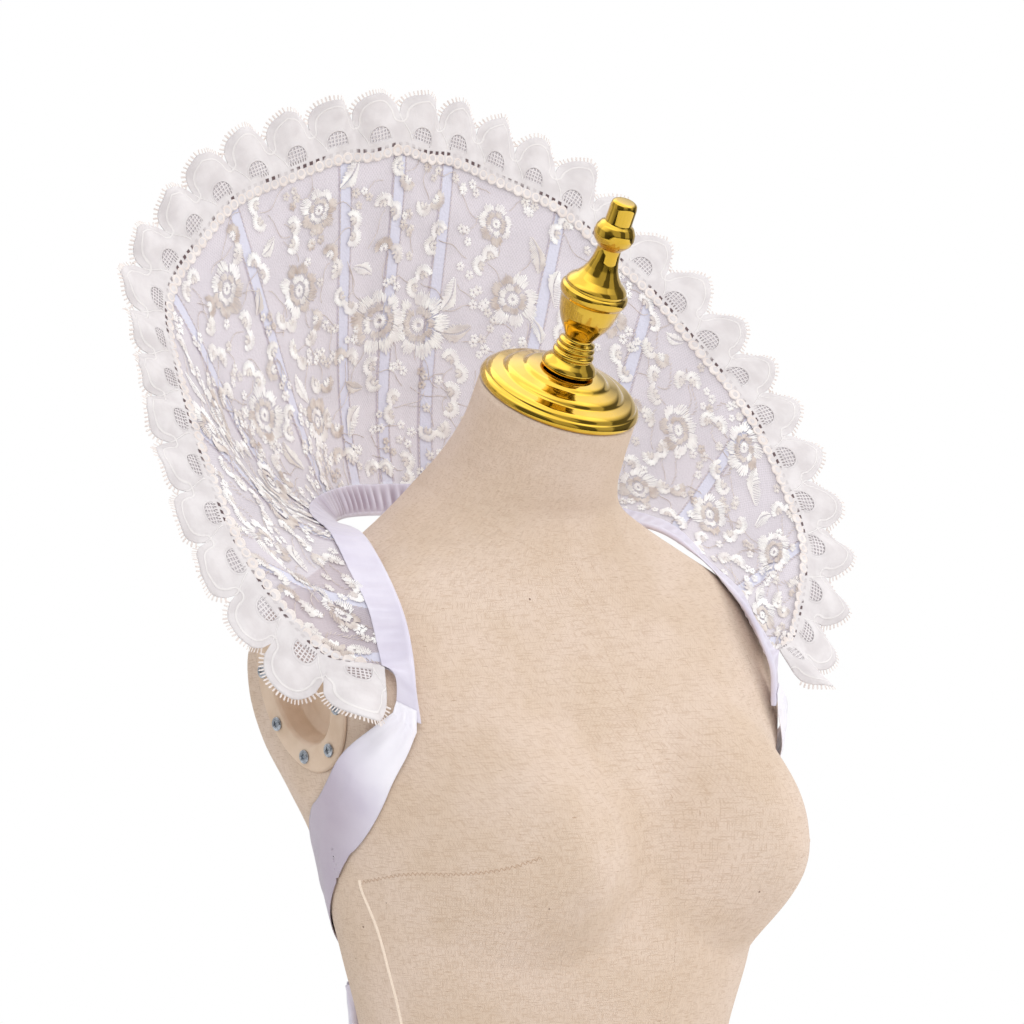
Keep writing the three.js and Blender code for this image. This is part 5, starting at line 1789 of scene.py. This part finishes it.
def make_neck_top():
    height, *_, centre_y, lean = FORM_ROWS[-1]
    cos, sin = math.cos(math.radians(lean)), math.sin(math.radians(lean))
    axes = np.array([[1, 0, 0], [0, cos, sin], [0, -sin, cos]])

    def place(points):
        return np.array([0, centre_y, height]) + points @ axes

    for name, profile, radius in (
        ("form_neck_cap", CAP_PROFILE, 1.2),
        ("form_finial", FINIAL_PROFILE, 0.7),
    ):
        piece = add_lathe(name + "_gilt", rounded(profile, radius), GOLD, place)
        weld(piece, TURNED_WELD)
        settle(piece, "gold", name)


# ---------------------------------------------------------------- the making

stitch_shape = hidden_spindle()
dot_shape = hidden_disc()
screw_shape = hidden_screw()

make_form()
make_seams(stitch_shape)
for side_name, side_sign in SIDES:
    make_arm_plate(side_name, side_sign)
make_screws(screw_shape)
make_neck_top()
make_net()
make_bones(stitch_shape)
make_binding()
make_lace(stitch_shape, dot_shape)
make_embroidery(stitch_shape)
make_knot()
for side_name, side_sign in SIDES:
    make_ribbon(f"ribbon_{side_name}", side_sign)
    make_bow_piece(f"bow_loop_{side_name}", side_sign, LOOP_ROWS)
    make_bow_piece(f"bow_tail_{side_name}", side_sign, TAIL_ROWS, TAIL_SLANT)
for shape in (stitch_shape, dot_shape, screw_shape):
    bpy.data.objects.remove(shape)

# ---------------------------------------------------------------- camera, light and floor

CAMERA_TURN = math.radians(-39)
CAMERA_RISE = math.radians(1.5)
CAMERA_FAR = 3.5
CAMERA_AIM = (0, 0, 0.540)
CAMERA_SHIFT = (-0.00788, 0.02303)  # to its right and up, off its aim
SENSOR = 36
LENS = SENSOR * 5775 / 1024
WORLD_LIGHT = 0.94
FLOOR_RADIUS = 1800
FLOOR_CORNERS = 96

# name, place, aim, size and power
LIGHTS = (
    ("Key", (-1.6, -2.3, 2.1), (0, 0, 0.6), (1.4, 1.4), 30),
    ("Fill", (2.4, -1.2, 1.2), (0, 0, 0.5), (1.6, 1.6), 26),
    ("Top", (0.2, 0.6, 2.6), (0, 0, 0.6), (1.6, 1.2), 8),
)


def make_camera():
    sin, cos = math.sin(CAMERA_TURN), math.cos(CAMERA_TURN)
    level = math.cos(CAMERA_RISE)
    back = Vector((sin * level, -cos * level, math.sin(CAMERA_RISE)))
    right = Vector((cos, sin, 0))
    up = back.cross(right)
    target = Vector(CAMERA_AIM) + right * CAMERA_SHIFT[0] + up * CAMERA_SHIFT[1]
    data = bpy.data.cameras.new("Camera")
    data.lens = LENS
    data.sensor_width = SENSOR
    data.clip_end = 20
    camera = bpy.data.objects.new("Camera", data)
    camera.matrix_world = Matrix((right, up, back)).transposed().to_4x4()
    camera.location = target + back * CAMERA_FAR
    bpy.context.scene.collection.objects.link(camera)
    bpy.context.scene.camera = camera


def make_light(name, place, aim, size, power):
    data = bpy.data.lights.new(name, "AREA")
    data.shape = "RECTANGLE"
    data.size, data.size_y = size
    data.energy = power
    light = bpy.data.objects.new(name, data)
    light.visible_glossy = False
    light.location = place
    light.rotation_euler = (Vector(aim) - Vector(place)).to_track_quat("-Z", "Y").to_euler()
    bpy.context.scene.collection.objects.link(light)


def make_world():
    """White to the camera; soft and darker at the sides for what the metal mirrors."""
    world = bpy.data.worlds.new("Studio")
    bpy.context.scene.world = world
    world.use_nodes = True
    tree = world.node_tree
    tree.nodes.clear()
    x, y, z = split(tree, add_node(tree, "ShaderNodeTexCoord").outputs["Generated"])
    shade = z.ramp(-0.35, 0.75, 0.7, 0.95) * abs((x * 5.2).sine()).ramp(0.25, 0.8, 0.75, 1.0)
    mirrored = (x * 6.5 + y * 3.1).sine().ramp(-0.15, 0.2, 0.14, 0.6)
    mirrored = mirrored * z.ramp(-0.45, 0.1, 0.25, 1.0)
    mirrored = mirrored + z.ramp(0.42, 0.8, 0, 1.5) + y.ramp(0.2, 0.9, 0, 0.4)
    path = add_node(tree, "ShaderNodeLightPath").outputs
    seen = add_node(tree, "ShaderNodeMix", path["Is Glossy Ray"], shade, mirrored).outputs[0]
    strength = (Value(tree, seen) * WORLD_LIGHT).most(path["Is Camera Ray"])
    plain = add_node(tree, "ShaderNodeBackground", (1, 1, 1), strength)
    out = tree.nodes.new("ShaderNodeOutputWorld")
    tree.links.new(plain.outputs[0], out.inputs["Surface"])


def make_floor():
    turns = [math.tau * k / FLOOR_CORNERS for k in range(FLOOR_CORNERS)]
    points = [(FLOOR_RADIUS * math.cos(t), FLOOR_RADIUS * math.sin(t), -1) for t in turns]
    f = Finish("floor")
    base = f.colour(f.mottle(400.0, 8.0)["Patches"], (240, 240, 240), (246, 246, 246))
    f.set(Base_Color=base, Roughness=0.9)
    floor = add_mesh("floor", points, [range(len(points))], f.material)


make_camera()
for light_row in LIGHTS:
    make_light(*light_row)
make_world()
make_floor()
bpy.context.scene.view_settings.view_transform = "Standard"
